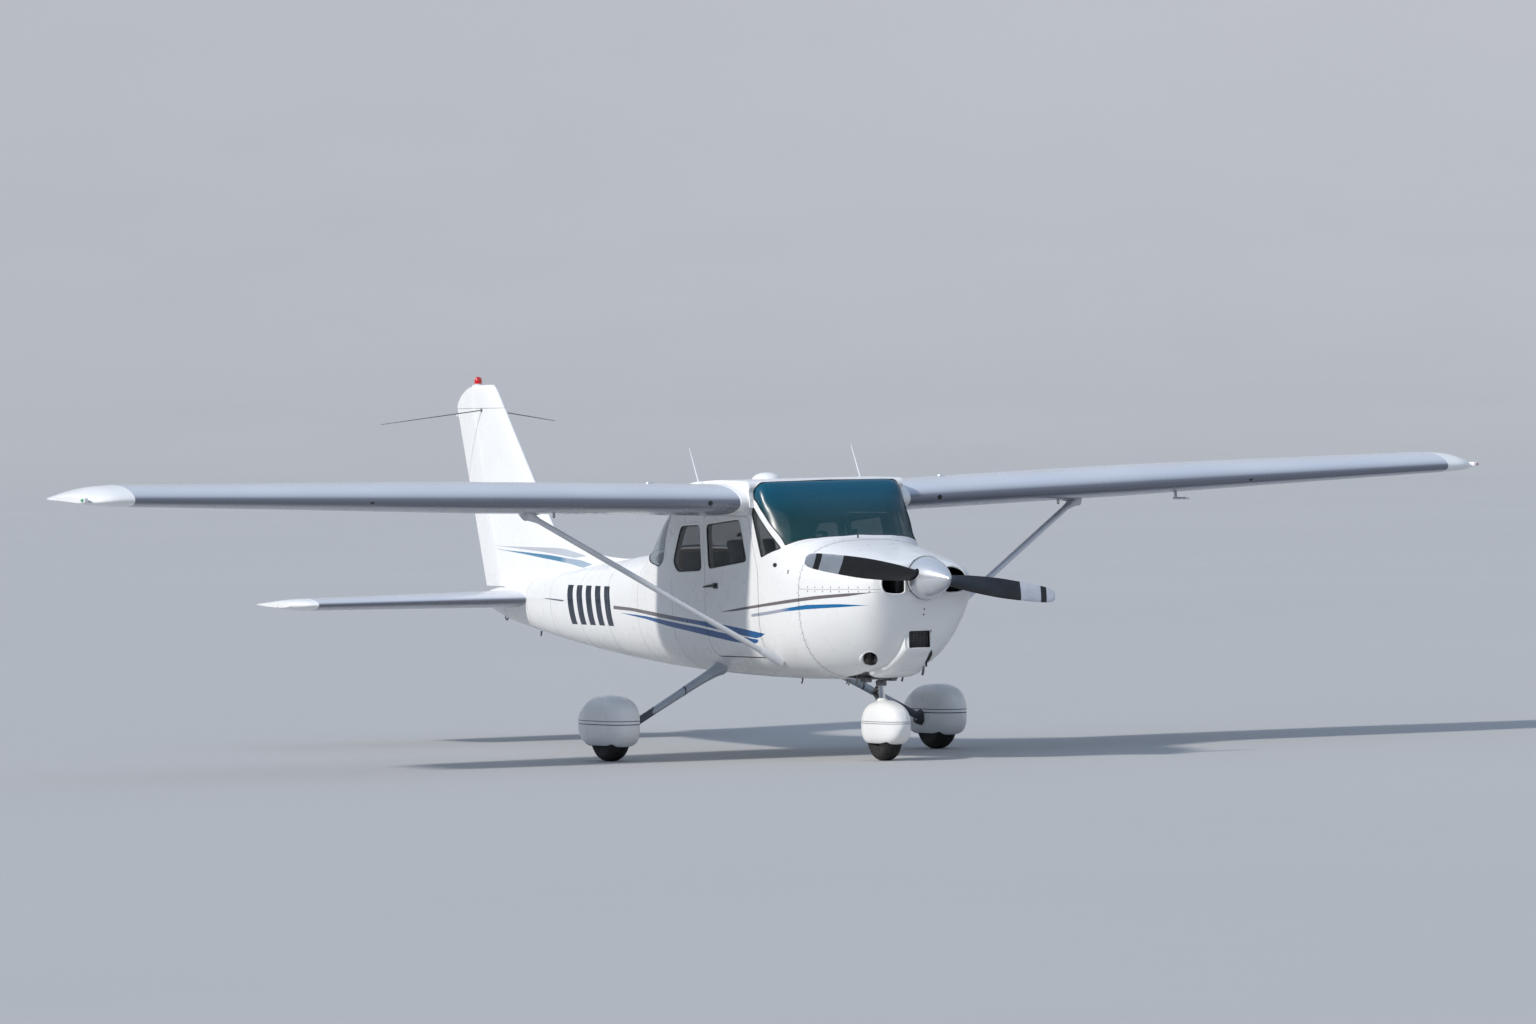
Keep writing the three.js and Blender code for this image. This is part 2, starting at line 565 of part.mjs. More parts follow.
const finish = ( color, roughness, metalness = 0 ) =>
	() => new THREE.MeshStandardMaterial( { color, roughness, metalness } );
const WHITE_PAINT = finish( 0xf2f3f2, 0.25 );
const SILVER = finish( 0xc9ccd0, 0.3, 0.8 );
const STEEL = finish( 0x9a9da1, 0.35, 0.9 );
const BLACK = finish( 0x17181b, 0.5 );
const TYRE = finish( 0x1c1c1d, 0.85 );
const CLEAR = finish( 0x7fa7b3, 0.08 );
const TINTED = finish( 0x2f7f93, 0.08 );
const CASTING = finish( 0x55585b, 0.6, 0.4 );
const TRIM = finish( 0x4b4f52, 0.7 );
const CREAM = finish( 0xcdbf9c, 0.75 );
const CLOTH = finish( 0x9fb0bd, 0.9 );
const RED_LENS = finish( 0xd0141c, 0.15 );

function add( name, made, material ) {

	const mesh = new THREE.Mesh( made.isBufferGeometry ? made : geometryOf( made ), material() );
	mesh.name = name;
	aircraft.add( mesh );
	return mesh;

}

// The port piece, and its mirror image on the starboard side
function addPair( name, made, material ) {

	const left = add( name + '_left', made, material );
	const right = add( name + '_right', left.geometry, material );
	right.scale.x = - 1;

}

// Wings
const roofBlock = sidePrism( ROOF.side, - ROOF.half, ROOF.half );

// The hinge line's point and the nose radius of what hangs there: both run straight between stations
function hingeAt( x ) {

	const next = WING.findIndex( row => row.x >= x );
	const ends = [ WING[ next - 1 ], WING[ next ] ].map( station => {

		const turn = THREE.MathUtils.degToRad( - station.turn );
		const along = HINGE_AT * station.chord;
		const up = camberAt( HINGE_AT, CAMBER ) * station.chord;
		const nose = halfThickness( HINGE_AT, station.thick ) * station.chord;
		const point = new THREE.Vector3( station.x,
			station.front + along * Math.cos( turn ) - up * Math.sin( turn ),
			station.rise + along * Math.sin( turn ) + up * Math.cos( turn ) );
		return { nose, point };

	} );
	const share = ( x - ends[ 0 ].point.x ) / ( ends[ 1 ].point.x - ends[ 0 ].point.x );
	return { point: ends[ 0 ].point.clone().lerp( ends[ 1 ].point, share ),
		nose: THREE.MathUtils.lerp( ends[ 0 ].nose, ends[ 1 ].nose, share ) };

}

// Blocks in the wing's hinge hollow that the nose of an aileron turns in
function aileronBearings() {

	return AILERON.bearings.map( x => {

		const { point, nose } = hingeAt( x );
		const inner = ( nose + SEAM * 2 ) / Math.cos( THREE.MathUtils.degToRad( BEARING.step / 2 ) );
		return arcBlock( point, hingeAt( x + BEARING.wide ).point, [ inner, nose + CLEARANCE + BEARING.sunk ],
			[ 180 - BEARING.spread, 180 + BEARING.spread ], BEARING.step );

	} );

}

// Curved tracks on the wing, and the slots in the flap that run along them
function flapTracks( gap ) {

	const root = hingeAt( FLAP.inner ).point;
	const along = hingeAt( FLAP.outer ).point.sub( root ).normalize();
	const down = new THREE.Vector3( - along.z, 0, along.x ).multiplyScalar( - FLAP.drop );
	const { wide, tall, front, back, step } = FLAP.track;
	return FLAP.tracksAt.map( x => {

		const start = root.clone().addScaledVector( along, ( x - FLAP.inner - gap ) / along.x ).add( down );
		const end = start.clone().addScaledVector( along, wide + 2 * gap );
		const angles = gap === 0 ? [ back, front ] : [ back - step, front + step ];
		return arcBlock( start, end, [ FLAP.drop - tall - gap, FLAP.drop + tall + gap ], angles, step );

	} );

}

function wings() {

	addPair( 'wing', withAll( wholeWing(), [ ...aileronBearings(), ...flapTracks( 0 ) ] ), WHITE_PAINT );
	addPair( 'wing_tip', loft( WING_TIP.map( row => wingRing( row, 'whole' ) ) ), WHITE_PAINT );
	const flap = wingPiece( 'back', [ FLAP.inner, FLAP.outer ] );
	addPair( 'flap', withoutAll( flap, flapTracks( FLAP.track.slotGap ) ), WHITE_PAINT );
	addPair( 'aileron', wingPiece( 'back', [ AILERON.inner, AILERON.outer ] ), WHITE_PAINT );

}

function wingStruts() {

	const { chord, thick, fullest } = STRUT;
	const section = foil( 'whole', chord, thick / chord, NO_CAMBER, fullest, 0 );
	const rings = [ STRUT.low, STRUT.high ].map( ( [ x, y, z ] ) => section.map( ( [ along, up ] ) =>
		new THREE.Vector3( x, y - chord / 2 + along, z + up ) ) );
	addPair( 'wing_strut', loft( rings ).subtract( wholeWing().translate( 0, 0, - SEAM ) )
		.subtract( body( CABIN.front, CABIN.back, () => - SEAM ) ), WHITE_PAINT );

}

// Cabin: shell, glass and doors
function cutThrough( made, corners, radius, side ) {

	return made.subtract( sidePrism( corners, side[ 0 ], side[ 1 ], radius ) );

}

function glassSkin( from, to ) {

	const { deep, thick } = GLASS;
	return body( from, to, () => deep ).subtract( body( from - 1, to + 1, () => deep + thick ) );

}

function cabin() {

	const doorHinges = hinges( DOOR_HINGE );
	const baggageHinges = hinges( BAGGAGE_HINGE );
	cabinShell( doorHinges.fixed, baggageHinges.fixed );
	doors( doorHinges.moving, baggageHinges.moving );
	panes();

}

// The fixed and the moving knuckles of an upright hinge
function hinges( { x, y, levels } ) {

	return {
		fixed: levels.map( z => knuckle( x, y, z + KNUCKLE.tall + SEAM, z + 2 * KNUCKLE.tall, - 1 ) ),
		moving: levels.map( z => knuckle( x, y, z, z + KNUCKLE.tall, 1 ) ),
	};

}

function cabinShell( doorKnuckles, baggageKnuckles ) {

	const inner = body( CABIN.front + CABIN.firewall, CABIN.back + 1, cabinWall );
	let shell = body( CABIN.front, CABIN.back ).add( roofBlock ).subtract( inner );
	shell = cutThrough( shell, OPENING.windscreen, 0, BOTH );
	shell = cutThrough( shell, OPENING.quarter, 0, BOTH );
	shell = cutThrough( shell, OPENING.rearSide, FRAME_RADIUS, BOTH );
	shell = cutThrough( shell, OPENING.rear, 0, BOTH );
	const doorway = sidePrism( grown( OPENING.door, CLEARANCE ), PORT[ 0 ], PORT[ 1 ] );
	shell = shell.subtract( doorway ).subtract( doorway.mirror( [ 1, 0, 0 ] ) );
	shell = cutThrough( shell, grown( OPENING.baggage, CLEARANCE ), 0, PORT );
	const starboard = doorKnuckles.map( piece => piece.mirror( [ 1, 0, 0 ] ) );
	add( 'cabin_shell', withAll( shell, [ ...doorKnuckles, ...starboard, ...baggageKnuckles ] ), WHITE_PAINT );

}

function doors( doorKnuckles, baggageKnuckles ) {

	const panel = body( CABIN.front + 1, CABIN.back - 1 )
		.subtract( body( CABIN.front, CABIN.back, y => ( { ...cabinWall( y ), top: CABIN.side } ) ) );
	const doorPanel = panel.intersect( sidePrism( OPENING.door, ...PORT ) );
	const door = cutThrough( doorPanel, OPENING.doorWindow, FRAME_RADIUS, PORT );
	addPair( 'door', withAll( door, doorKnuckles ), WHITE_PAINT );
	const baggage = panel.intersect( sidePrism( OPENING.baggage, ...PORT ) );
	add( 'baggage_door', withAll( baggage, baggageKnuckles ), WHITE_PAINT );

}

function panes() {

	const skin = glassSkin( CABIN.front + 1, CABIN.back - 1 );
	const pane = ( corners, radius, side ) =>
		skin.intersect( sidePrism( grown( corners, - GLASS.gap ), side[ 0 ], side[ 1 ], radius ) );
	add( 'windscreen', pane( OPENING.windscreen, 0, BOTH ), TINTED );
	add( 'rear_window', pane( OPENING.rear, 0, BOTH ), CLEAR );
	addPair( 'quarter_window', pane( OPENING.quarter, 0, PORT ), TINTED );
	addPair( 'rear_side_window', pane( OPENING.rearSide, FRAME_RADIUS, PORT ), CLEAR );
	addPair( 'door_window', pane( OPENING.doorWindow, FRAME_RADIUS, PORT ), CLEAR );

}

// Cowl: two halves round a plain engine block
function cowl() {

	const before = COWL.front - 50;
	const inlet = box( INLET.across, [ before, COWL.front + INLET.deep ], INLET.up );
	const holes = [
		body( COWL.front + COWL.wall, COWL.back + 1, () => COWL.wall ),
		inlet,
		inlet.mirror( [ 1, 0, 0 ] ),
		box( [ - INTAKE.half, INTAKE.half ], [ before, INTAKE.back ], INTAKE.up ),
		box( [ - OUTLET.half, OUTLET.half ], OUTLET.along, OUTLET.up ),
		bar( [ 0, before, PROP.line ], [ 0, COWL.front + 50, PROP.line ], SHAFT_HOLE, HUB_SIDES ),
		bar( ...EXHAUST.reach.map( z => [ EXHAUST.x, EXHAUST.y, z ] ), EXHAUST.hole, 20 ),
	];
	const shell = withoutAll( body( COWL.front, COWL.back - SEAM ), holes );
	const wide = [ - COWL.half, COWL.half ];
	const long = [ before, COWL.back + 50 ];
	const upper = box( wide, long, [ COWL.seam + SEAM / 2, COWL.high ] );
	const lower = box( wide, long, [ COWL.low, COWL.seam - SEAM / 2 ] );
	add( 'cowl_upper', shell.intersect( upper ), WHITE_PAINT );
	add( 'cowl_lower', shell.intersect( lower ), WHITE_PAINT );

}

function engine() {

	const { half, along, up, nose, noseFront, banks, mount } = ENGINE;
	const block = withAll( box( [ - half, half ], along, up ), [
		box( [ - banks.half, banks.half ], [ banks.front, along[ 1 ] ], [ banks.low, up[ 1 ] ] ),
		bar( [ 0, along[ 0 ] + 10, PROP.line ], [ 0, noseFront, PROP.line ], nose, 20 ),
		box( [ - mount.half, mount.half ], [ along[ 1 ] - 5, - SEAM ], mount.up ),
	] );
	add( 'engine', block, CASTING );
	const { x, y, low, pipe } = EXHAUST;
	add( 'exhaust_pipe', bar( [ x, y, up[ 0 ] - SEAM ], [ x, y, low ], pipe, 12 ), STEEL );

}

// Propeller: two blades on one hub, and the pointed spinner over it
function bladeRing( { at, chord, thick, pitch }, grow = 0 ) {

	const turn = THREE.MathUtils.degToRad( pitch );
	const section = foil( 'whole', chord + grow * 2, thick + grow * 2 / chord, CAMBER, BLADE_FULLEST, 0 );
	return section.map( ( [ along, up ] ) => {

		const across = along - chord / 2 - grow;
		return new THREE.Vector3( at,
			across * Math.sin( turn ) - up * Math.cos( turn ),
			across * Math.cos( turn ) + up * Math.sin( turn ) );

	} );

}

function propeller() {

	const blade = loft( BLADE.map( row => bladeRing( row ) ) );
	const hub = bar( [ 0, PROP.hubFront, 0 ], [ 0, PROP.hubBack - SEAM, 0 ], PROP.hub, HUB_SIDES );
	add( 'propeller', onShaft( withAll( blade, [ blade.rotate( [ 0, 180, 0 ] ), hub ] ) ), BLACK );

}

function onShaft( made ) {

	return made.rotate( [ 0, - PROP.angle, 0 ] ).translate( 0, PROP.y, PROP.line );

}

function spinner() {

	const { rim, back, tip, thin, set } = SPINNER_INSIDE;
	const inside = SPINNER.slice( 1, - 1 ).reverse().map( ( [ r, y ] ) => [ r - thin, y + set ] );
	const profile = [ ...SPINNER, [ rim, back ], ...inside, [ 0, tip ] ]
		.map( ( [ r, y ] ) => new THREE.Vector2( r, y - PROP.y ) );
	const slot = loft( BLADE.slice( 0, BLADE_SLOT.rows ).map( row => bladeRing( row, BLADE_SLOT.gap ) ) );
	const shell = solid( new THREE.LatheGeometry( profile, SPINNER_SIDES ) )
		.subtract( slot ).subtract( slot.rotate( [ 0, 180, 0 ] ) );
	const { radius, thick } = SPINNER_WEB;
	const plate = new THREE.CylinderGeometry( radius, radius, thick, SPINNER_SIDES )
		.translate( 0, PROP.hubBack - SEAM - ( thick + 0.6 ) / 2, 0 );
	const web = solid( plate ).subtract( bar( [ 0, - 200, 0 ], [ 0, 200, 0 ], PROP.hub + SEAM, HUB_SIDES ) );
	add( 'spinner', onShaft( shell.add( web ) ), SILVER );

}

// Tail cone, tailplane, fin and the surfaces hinged to them
function tailplaneRing( { x, front, back, slim = 1 }, part, side ) {

	const { hinge, thick, gap, level } = TAILPLANE;
	const chord = back - front;
	return foil( part, chord, thick * slim, NO_CAMBER, ( hinge - front ) / chord, gap )
		.map( ( [ along, up ] ) => new THREE.Vector3( x * side, front + along, level + up ) );

}

function tailplaneHollow( { x, front, back }, side ) {

	const chord = back - front;
	const upper = SKIN_SHARES.map( share => {

		const along = share * ( TAILPLANE.hinge - front );
		return [ front + along, halfThickness( along / chord, TAILPLANE.thick ) * chord - SKIN ];

	} ).reverse();
	return [ ...upper, ...upper.map( ( [ y, up ] ) => [ y, - up ] ).reverse() ]
		.map( ( [ y, up ] ) => new THREE.Vector3( x * side, y, TAILPLANE.level + up ) );

}

function tailplane() {

	const [ root, rib ] = TAILPLANE.stations;
	const { tip } = TAILPLANE;
	const rings = [ [ tip, - 1 ], [ rib, - 1 ], [ root, - 1 ], [ root, 1 ], [ rib, 1 ], [ tip, 1 ] ]
		.map( ( [ station, side ] ) => tailplaneRing( station, 'front', side ) );
	const hollow = [ [ rib, - 1 ], [ root, - 1 ], [ root, 1 ], [ rib, 1 ] ]
		.map( ( [ station, side ] ) => tailplaneHollow( station, side ) );
	const outer = loft( rings );
	add( 'tailplane', outer.subtract( loft( hollow ) ), WHITE_PAINT );
	return outer;

}

// The hollow of a surface behind its hinge, as [ aft, across ] points from the hinge
function wedgeHollow( radius, length ) {

	const inner = radius - SKIN;
	const end = length * ( 1 - ( SKIN + TRAILING_HALF + 2 ) / radius );
	const half = [ [ end, 2 ], [ 0, inner ], [ - 0.7 * inner, 0.6 * inner ] ];
	return [ ...half, ...half.map( ( [ aft, across ] ) => [ aft, - across ] ).reverse() ];

}

function elevatorHollow( x ) {

	const [ root, rib ] = TAILPLANE.stations;
	const share = ( x - root.x ) / ( rib.x - root.x );
	const front = root.front + share * ( rib.front - root.front );
	const back = root.back + share * ( rib.back - root.back );
	const chord = back - front;
	const radius = halfThickness( ( TAILPLANE.hinge - front ) / chord, TAILPLANE.thick ) * chord;
	return wedgeHollow( radius, back - TAILPLANE.hinge ).map( ( [ aft, up ] ) =>
		new THREE.Vector3( x, TAILPLANE.hinge + aft, TAILPLANE.level + up ) );

}

function elevator() {

	const { hinge, level, stations, tip } = TAILPLANE;
	const { tubeEnd, tube, notch, notchHalf, hollowFrom, hollowTo } = ELEVATOR;
	const deep = { depth: 2 * notchHalf, bevelEnabled: false };
	const notched = new THREE.ExtrudeGeometry( outline( notch ), deep ).translate( 0, 0, level - notchHalf );
	const drain = box( [ 50, hollowFrom + 10 ], [ hinge + DRAIN.from, hinge + DRAIN.to ],
		[ level - DRAIN.half, level + DRAIN.half ] );
	const hollow = loft( [ hollowFrom, hollowTo ].map( x => elevatorHollow( x ) ) ).add( drain );
	const port = loft( [ ...stations, tip ].map( station => tailplaneRing( station, 'back', 1 ) ) )
		.subtract( solid( notched ) ).subtract( hollow );
	const joint = bar( [ - tubeEnd, hinge, level ], [ tubeEnd, hinge, level ], tube, TUBE_SIDES );
	add( 'elevator', withAll( port, [ port.mirror( [ 1, 0, 0 ] ), joint ] ), WHITE_PAINT );

}

function hingeOfFin( z ) {

	return FIN.hingeFoot + ( z - FIN.hingeLevel ) * FIN.hingeRake;

}

function finHalf( z ) {

	const { low, high, highAt } = FIN.half;
	const share = Math.max( 0, ( z - FIN.thickBelow ) / ( highAt - FIN.thickBelow ) );
	return low + share * ( high - low );

}

// How full the fin is at a share of the way to its hinge
function finFullness( share ) {

	return share > FULL_FROM ? 1 : Math.sqrt( 4 * share * ( 1 - share ) );

}

function finRing( { z, front, slim = 1 } ) {

	const hinge = hingeOfFin( z );
	const half = finHalf( z ) * slim;
	const hollow = half * FIN.hingeShare + FIN.gap;
	const lipTurn = Math.acos( half * FIN.lip.hollow / hollow );
	const arc = [ 0, 0.25, 0.5, 0.75, 1 ].map( share => {

		const turn = THREE.MathUtils.lerp( lipTurn, Math.PI - lipTurn, share );
		return [ hollow * Math.cos( turn ), hinge - hollow * Math.sin( turn ) ];

	} );
	const right = FIN_SHARES.map( share => [ half * finFullness( share ), front + share * ( hinge - front ) ] );
	right.push( [ half * FIN.lip.across, arc[ 0 ][ 1 ] ] );
	const left = right.map( ( [ x, y ] ) => [ - x, y ] ).reverse();
	return [ ...right, ...arc, ...left, [ 0, front ] ].map( ( [ x, y ] ) => new THREE.Vector3( x, y, z ) );

}

function finHollow( { z, front } ) {

	const hinge = hingeOfFin( z );
	const right = SKIN_SHARES.map( share =>
		[ finHalf( z ) * finFullness( share ) - SKIN, front + share * ( hinge - front ) ] );
	return [ ...right, ...right.map( ( [ x, y ] ) => [ - x, y ] ).reverse() ]
		.map( ( [ x, y ] ) => new THREE.Vector3( x, y, z ) );

}

// The fin's blade, without the fillet in front of it
function finBlade() {

	return loft( FIN.stations.map( row => finRing( row ) ) );

}

function fin( tailOuter ) {

	const fillet = loft( FIN.fillet.map( ( { y, half, top } ) => FIN.filletSection.map( ( [ across, up ] ) =>
		new THREE.Vector3( - half * across, y, THREE.MathUtils.lerp( FIN.filletFoot, top, up ) ) ) ) );
	const hollow = loft( FIN.hollow.map( row => finHollow( row ) ) );
	add( 'fin', finBlade().add( fillet ).subtract( hollow ).subtract( tailOuter ), WHITE_PAINT );

}

function rudderRing( z, back, slim = 1 ) {

	const hinge = hingeOfFin( z );
	const radius = finHalf( z ) * FIN.hingeShare * slim;
	const side = RUDDER_SIDE.map( ( [ across, aft ] ) => [ radius * across, hinge + ( back - hinge ) * aft ] );
	side.push( [ TRAILING_HALF, back ] );
	const nose = RUDDER_NOSE.map( angle => THREE.MathUtils.degToRad( angle ) )
		.map( turn => [ radius * Math.cos( turn ), hinge - radius * Math.sin( turn ) ] );
	return [ ...side, ...side.map( ( [ x, y ] ) => [ - x, y ] ).reverse(), ...nose ]
		.map( ( [ x, y ] ) => new THREE.Vector3( x, y, z ) );

}

// The pin at the rudder's foot, on its hinge line, and the bore for it
function rudderPin( radius, deeper ) {

	const low = RUDDER.foot - RUDDER.pinDeep - deeper;
	const high = RUDDER.foot + RUDDER.pinTall;
	return bar( [ 0, hingeOfFin( low ), low ], [ 0, hingeOfFin( high ), high ], radius, PIN_SIDES );

}

function rudder() {

	const { foot, footBack, knee, kneeBack, cap, capBack, capSlim, top, topBack, topSlim } = RUDDER;
	const { hollowFrom, hollowTo, pin } = RUDDER;
	const backAt = z => THREE.MathUtils.mapLinear( z, foot, knee, footBack, kneeBack );
	const rings = [ foot, FIN.thickBelow, knee ].map( z => rudderRing( z, backAt( z ) ) );
	rings.push( rudderRing( cap, capBack, capSlim ), rudderRing( top, topBack, topSlim ) );
	const hollow = loft( [ hollowFrom, hollowTo ].map( z => {

		const hinge = hingeOfFin( z );
		return wedgeHollow( finHalf( z ) * FIN.hingeShare, backAt( z ) - hinge )
			.map( ( [ aft, across ] ) => new THREE.Vector3( across, hinge + aft, z ) ).reverse();

	} ) );
	const slotAt = hingeOfFin( foot );
	const slot = box( [ - DRAIN.half, DRAIN.half ], [ slotAt + DRAIN.from, slotAt + DRAIN.to ],
		[ foot - 20, hollowFrom + 10 ] );
	add( 'rudder', loft( rings ).subtract( hollow.add( slot ) ).add( rudderPin( pin, 0 ) ), WHITE_PAINT );

}

// The tail cone: a hollow cone with room for the tailplane, the elevator's tube and the rudder
function tailCone( plane ) {

	const { hinge, level } = TAILPLANE;
	const bore = boreFor( ELEVATOR.tube, TUBE_SIDES );
	const room = [
		body( TAIL.front, TAIL.hollowTo, () => TAIL.wall ),
		plane.translate( 0, 0, SEAM ),
		plane.translate( 0, 0, - SEAM ),
		plane.translate( 0, - SEAM, 0 ),
		bar( [ - 160, hinge, level ], [ 160, hinge, level ], bore, TUBE_SIDES ),
		sidePrism( RUDDER.swept, - RUDDER.sweptHalf, RUDDER.sweptHalf ),
		rudderPin( boreFor( RUDDER.pin, PIN_SIDES ), 4 ),
	];
	const cone = withoutAll( body( TAIL.front + SEAM, TAIL.back ), room );
	add( 'tail_cone', cone, WHITE_PAINT );

}

function tail() {

	tailCone( tailplane() );
	fin( body( TAIL.front, TAIL.back, () => - SEAM ) );
	elevator();
	rudder();

}

// Fittings on the outside
function beacon() {

	const { y, low, stalk, stalkTop, lens, tall, middle } = BEACON;
	const glass = new THREE.SphereGeometry( lens, 12, 8 ).scale( 1, 1, tall ).translate( 0, y, middle );
	add( 'beacon', bar( [ 0, y, low + SEAM ], [ 0, y, stalkTop ], stalk, 12 ).add( solid( glass ) ), RED_LENS );

}

function navAerials() {

	const { hub, tip, radius, thin } = NAV_ROD;
	const rod = bar( hub, tip, radius, 8, radius * thin );
	addPair( 'nav_aerial', rod.subtract( finBlade().translate( SEAM, 0, 0 ) ), BLACK );

}

function roofDome() {

	const { y, z, radius, tall, long } = DOME;
	const cap = new THREE.SphereGeometry( radius, 16, 8 ).scale( 1, long, tall / radius ).translate( 0, y, z );
	add( 'roof_dome', solid( cap ).subtract( roofBlock.translate( 0, 0, SEAM ) )
		.subtract( body( CABIN.front, CABIN.back, () => - SEAM ) ), WHITE_PAINT );

}

function pitotTube() {

	const { x, y, low, root, lean, forward, stem, tube } = PITOT;
	const made = bar( [ x, y, root ], [ x, y - lean, low ], stem, 8 )
		.add( bar( [ x, y + 5, low ], [ x, y - forward, low ], tube, 8 ) );
	add( 'pitot_tube', made.subtract( wholeWing().translate( 0, 0, - SEAM ) ), STEEL );

}

// Landing gear
function tyreProfile( radius, width, rim ) {

	const half = width / 2;
	const side = [ [ rim, 0.62 ], [ radius * 0.62, 0.94 ], [ radius * 0.82, 1 ], [ radius * 0.95, 0.72 ],
		[ radius, 0.3 ] ];
	const left = side.map( ( [ r, share ] ) => [ r, - half * share ] );
	const right = side.map( ( [ r, share ] ) => [ r, half * share ] ).reverse();
	return [ ...left, ...right, left[ 0 ] ];

}

function rimProfile( { width, rim, axle } ) {

	const half = width / 2;
	const bore = axle + 0.6;
	const edge = rim - SEAM;
	const side = [ [ bore, 0.5 ], [ edge * 0.5, 0.5 ], [ edge * 0.8, 0.3 ], [ edge, 0.58 ] ];
	const left = side.map( ( [ r, share ] ) => [ r, - half * share ] );
	const right = side.map( ( [ r, share ] ) => [ r, half * share ] ).reverse();
	return [ ...left, ...right, left[ 0 ] ];

}

function wheel( size ) {

	return {
		tyre: turnedOnX( tyreProfile( size.radius, size.width, size.rim ), WHEEL_SIDES ),
		rim: turnedOnX( rimProfile( size ), WHEEL_SIDES ),
	};

}

// One section of a wheel fairing, drawn in by its wall
function fairingRing( { y, half, top, bottom }, drawnIn ) {

	const mid = ( top + bottom ) / 2;
	return Array.from( { length: FAIRING_POINTS }, ( _, i ) => {

		const angle = i / FAIRING_POINTS * Math.PI * 2;
		const across = Math.cos( angle );
		const up = Math.sin( angle );
		const power = 2 / ( up >= 0 ? FAIRING_ROUND.above : FAIRING_ROUND.below );
		return new THREE.Vector3( - ( half - drawnIn ) * Math.sign( across ) * Math.abs( across ) ** power, y,
			mid + ( ( top - bottom ) / 2 - drawnIn ) * Math.sign( up ) * Math.abs( up ) ** power );

	} );

}

// A hollow fairing round a wheel, open below
function fairing( { rows, opening }, x, y ) {

	const outside = loft( rows.map( row => fairingRing( row, 0 ) ) );
	const inside = loft( rows.slice( 1, - 1 ).map( row => fairingRing( row, FAIRING_WALL ) ) );
	const { half, long, up } = opening;
	const open = box( [ - half, half ], [ - long, long ], up );
	return withoutAll( outside, [ inside, open ] ).translate( x, y, 0 );

}

function legRing( { at: [ x, y, z ], long, tall } ) {

	return Array.from( { length: LEG_POINTS }, ( _, i ) => {

		const angle = i / LEG_POINTS * Math.PI * 2;
		return new THREE.Vector3( x, y + long * Math.cos( angle ), z + tall * Math.sin( angle ) );

	} );

}

function mainGear() {

	const { x, y, radius, axle, axleEnds } = MAIN;
	const { tyre, rim } = wheel( MAIN );
	addPair( 'main_tyre', tyre.translate( x, y, radius ), TYRE );
	addPair( 'main_rim', rim.translate( x, y, radius ), SILVER );

	const shell = fairing( MAIN_FAIRING, x, y ).subtract( loft( LEG_HOLE.map( row => legRing( row ) ) ) );
	addPair( 'main_wheel_fairing', shell, WHITE_PAINT );
	const across = ( ends, size, sides ) => bar( ...ends.map( end => [ end, y, radius ] ), size, sides );
	const hull = body( CABIN.front, CABIN.back, () => - SEAM );
	const bent = loft( LEG.map( row => legRing( row ) ) ).subtract( hull );
	const disc = across( BRAKE_DISC.ends, BRAKE_DISC.radius, 16 );
	const leg = withAll( bent, [ across( axleEnds, axle, 12 ), disc ] );
	addPair( 'main_gear_leg', leg.subtract( shell.translate( - SEAM, 0, 0 ) ), WHITE_PAINT );

}

// A point on the axis that the nosewheel steers about
function onSteering( z ) {

	return [ 0, NOSE.y + ( z - NOSE.radius ) * Math.tan( THREE.MathUtils.degToRad( STEER.rake ) ), z ];

}

function noseLeg() {

	const { collar, top, cylinder, bore, boreTop } = STEER;
	const { half, rows } = STEER_MOUNTS;
	const hollow = bar( onSteering( collar - 10 ), onSteering( boreTop ), bore, 20 );
	const leg = bar( onSteering( collar ), onSteering( top ), cylinder, 20 ).subtract( hollow );
	const mounts = rows.map( ( { front, up } ) => box( [ - half, half ], [ front, - SEAM ], up ) );
	add( 'nose_gear_cylinder', withAll( leg, mounts ), STEEL );

}

function noseWheel() {

	const { y, radius, axle, axleHalf } = NOSE;
	const { tyre, rim } = wheel( NOSE );
	add( 'nose_tyre', tyre.translate( 0, y, radius ), TYRE );
	add( 'nose_rim', rim.translate( 0, y, radius ), SILVER );

	const { piston, pistonLow, pistonTop } = STEER;
	const hole = bar( ...NOSE_FAIRING.pistonHole.map( onSteering ), piston + SEAM, 16 );
	const shell = fairing( NOSE_FAIRING, 0, y ).subtract( hole );
	add( 'nose_wheel_fairing', shell, WHITE_PAINT );

	const arch = new THREE.ExtrudeGeometry( outline( FORK.arch ), { depth: FORK.deep, bevelEnabled: false } )
		.rotateX( Math.PI / 2 ).translate( 0, y + FORK.back, 0 );
	const rod = bar( onSteering( pistonLow ), onSteering( pistonTop ), piston, 16 );
	const pin = bar( [ - axleHalf, y, radius ], [ axleHalf, y, radius ], axle, 12 )
		.subtract( shell.translate( SEAM, 0, 0 ) ).subtract( shell.translate( - SEAM, 0, 0 ) );
	add( 'nose_fork', withAll( solid( arch ), [ rod, pin ] ), STEEL );

}

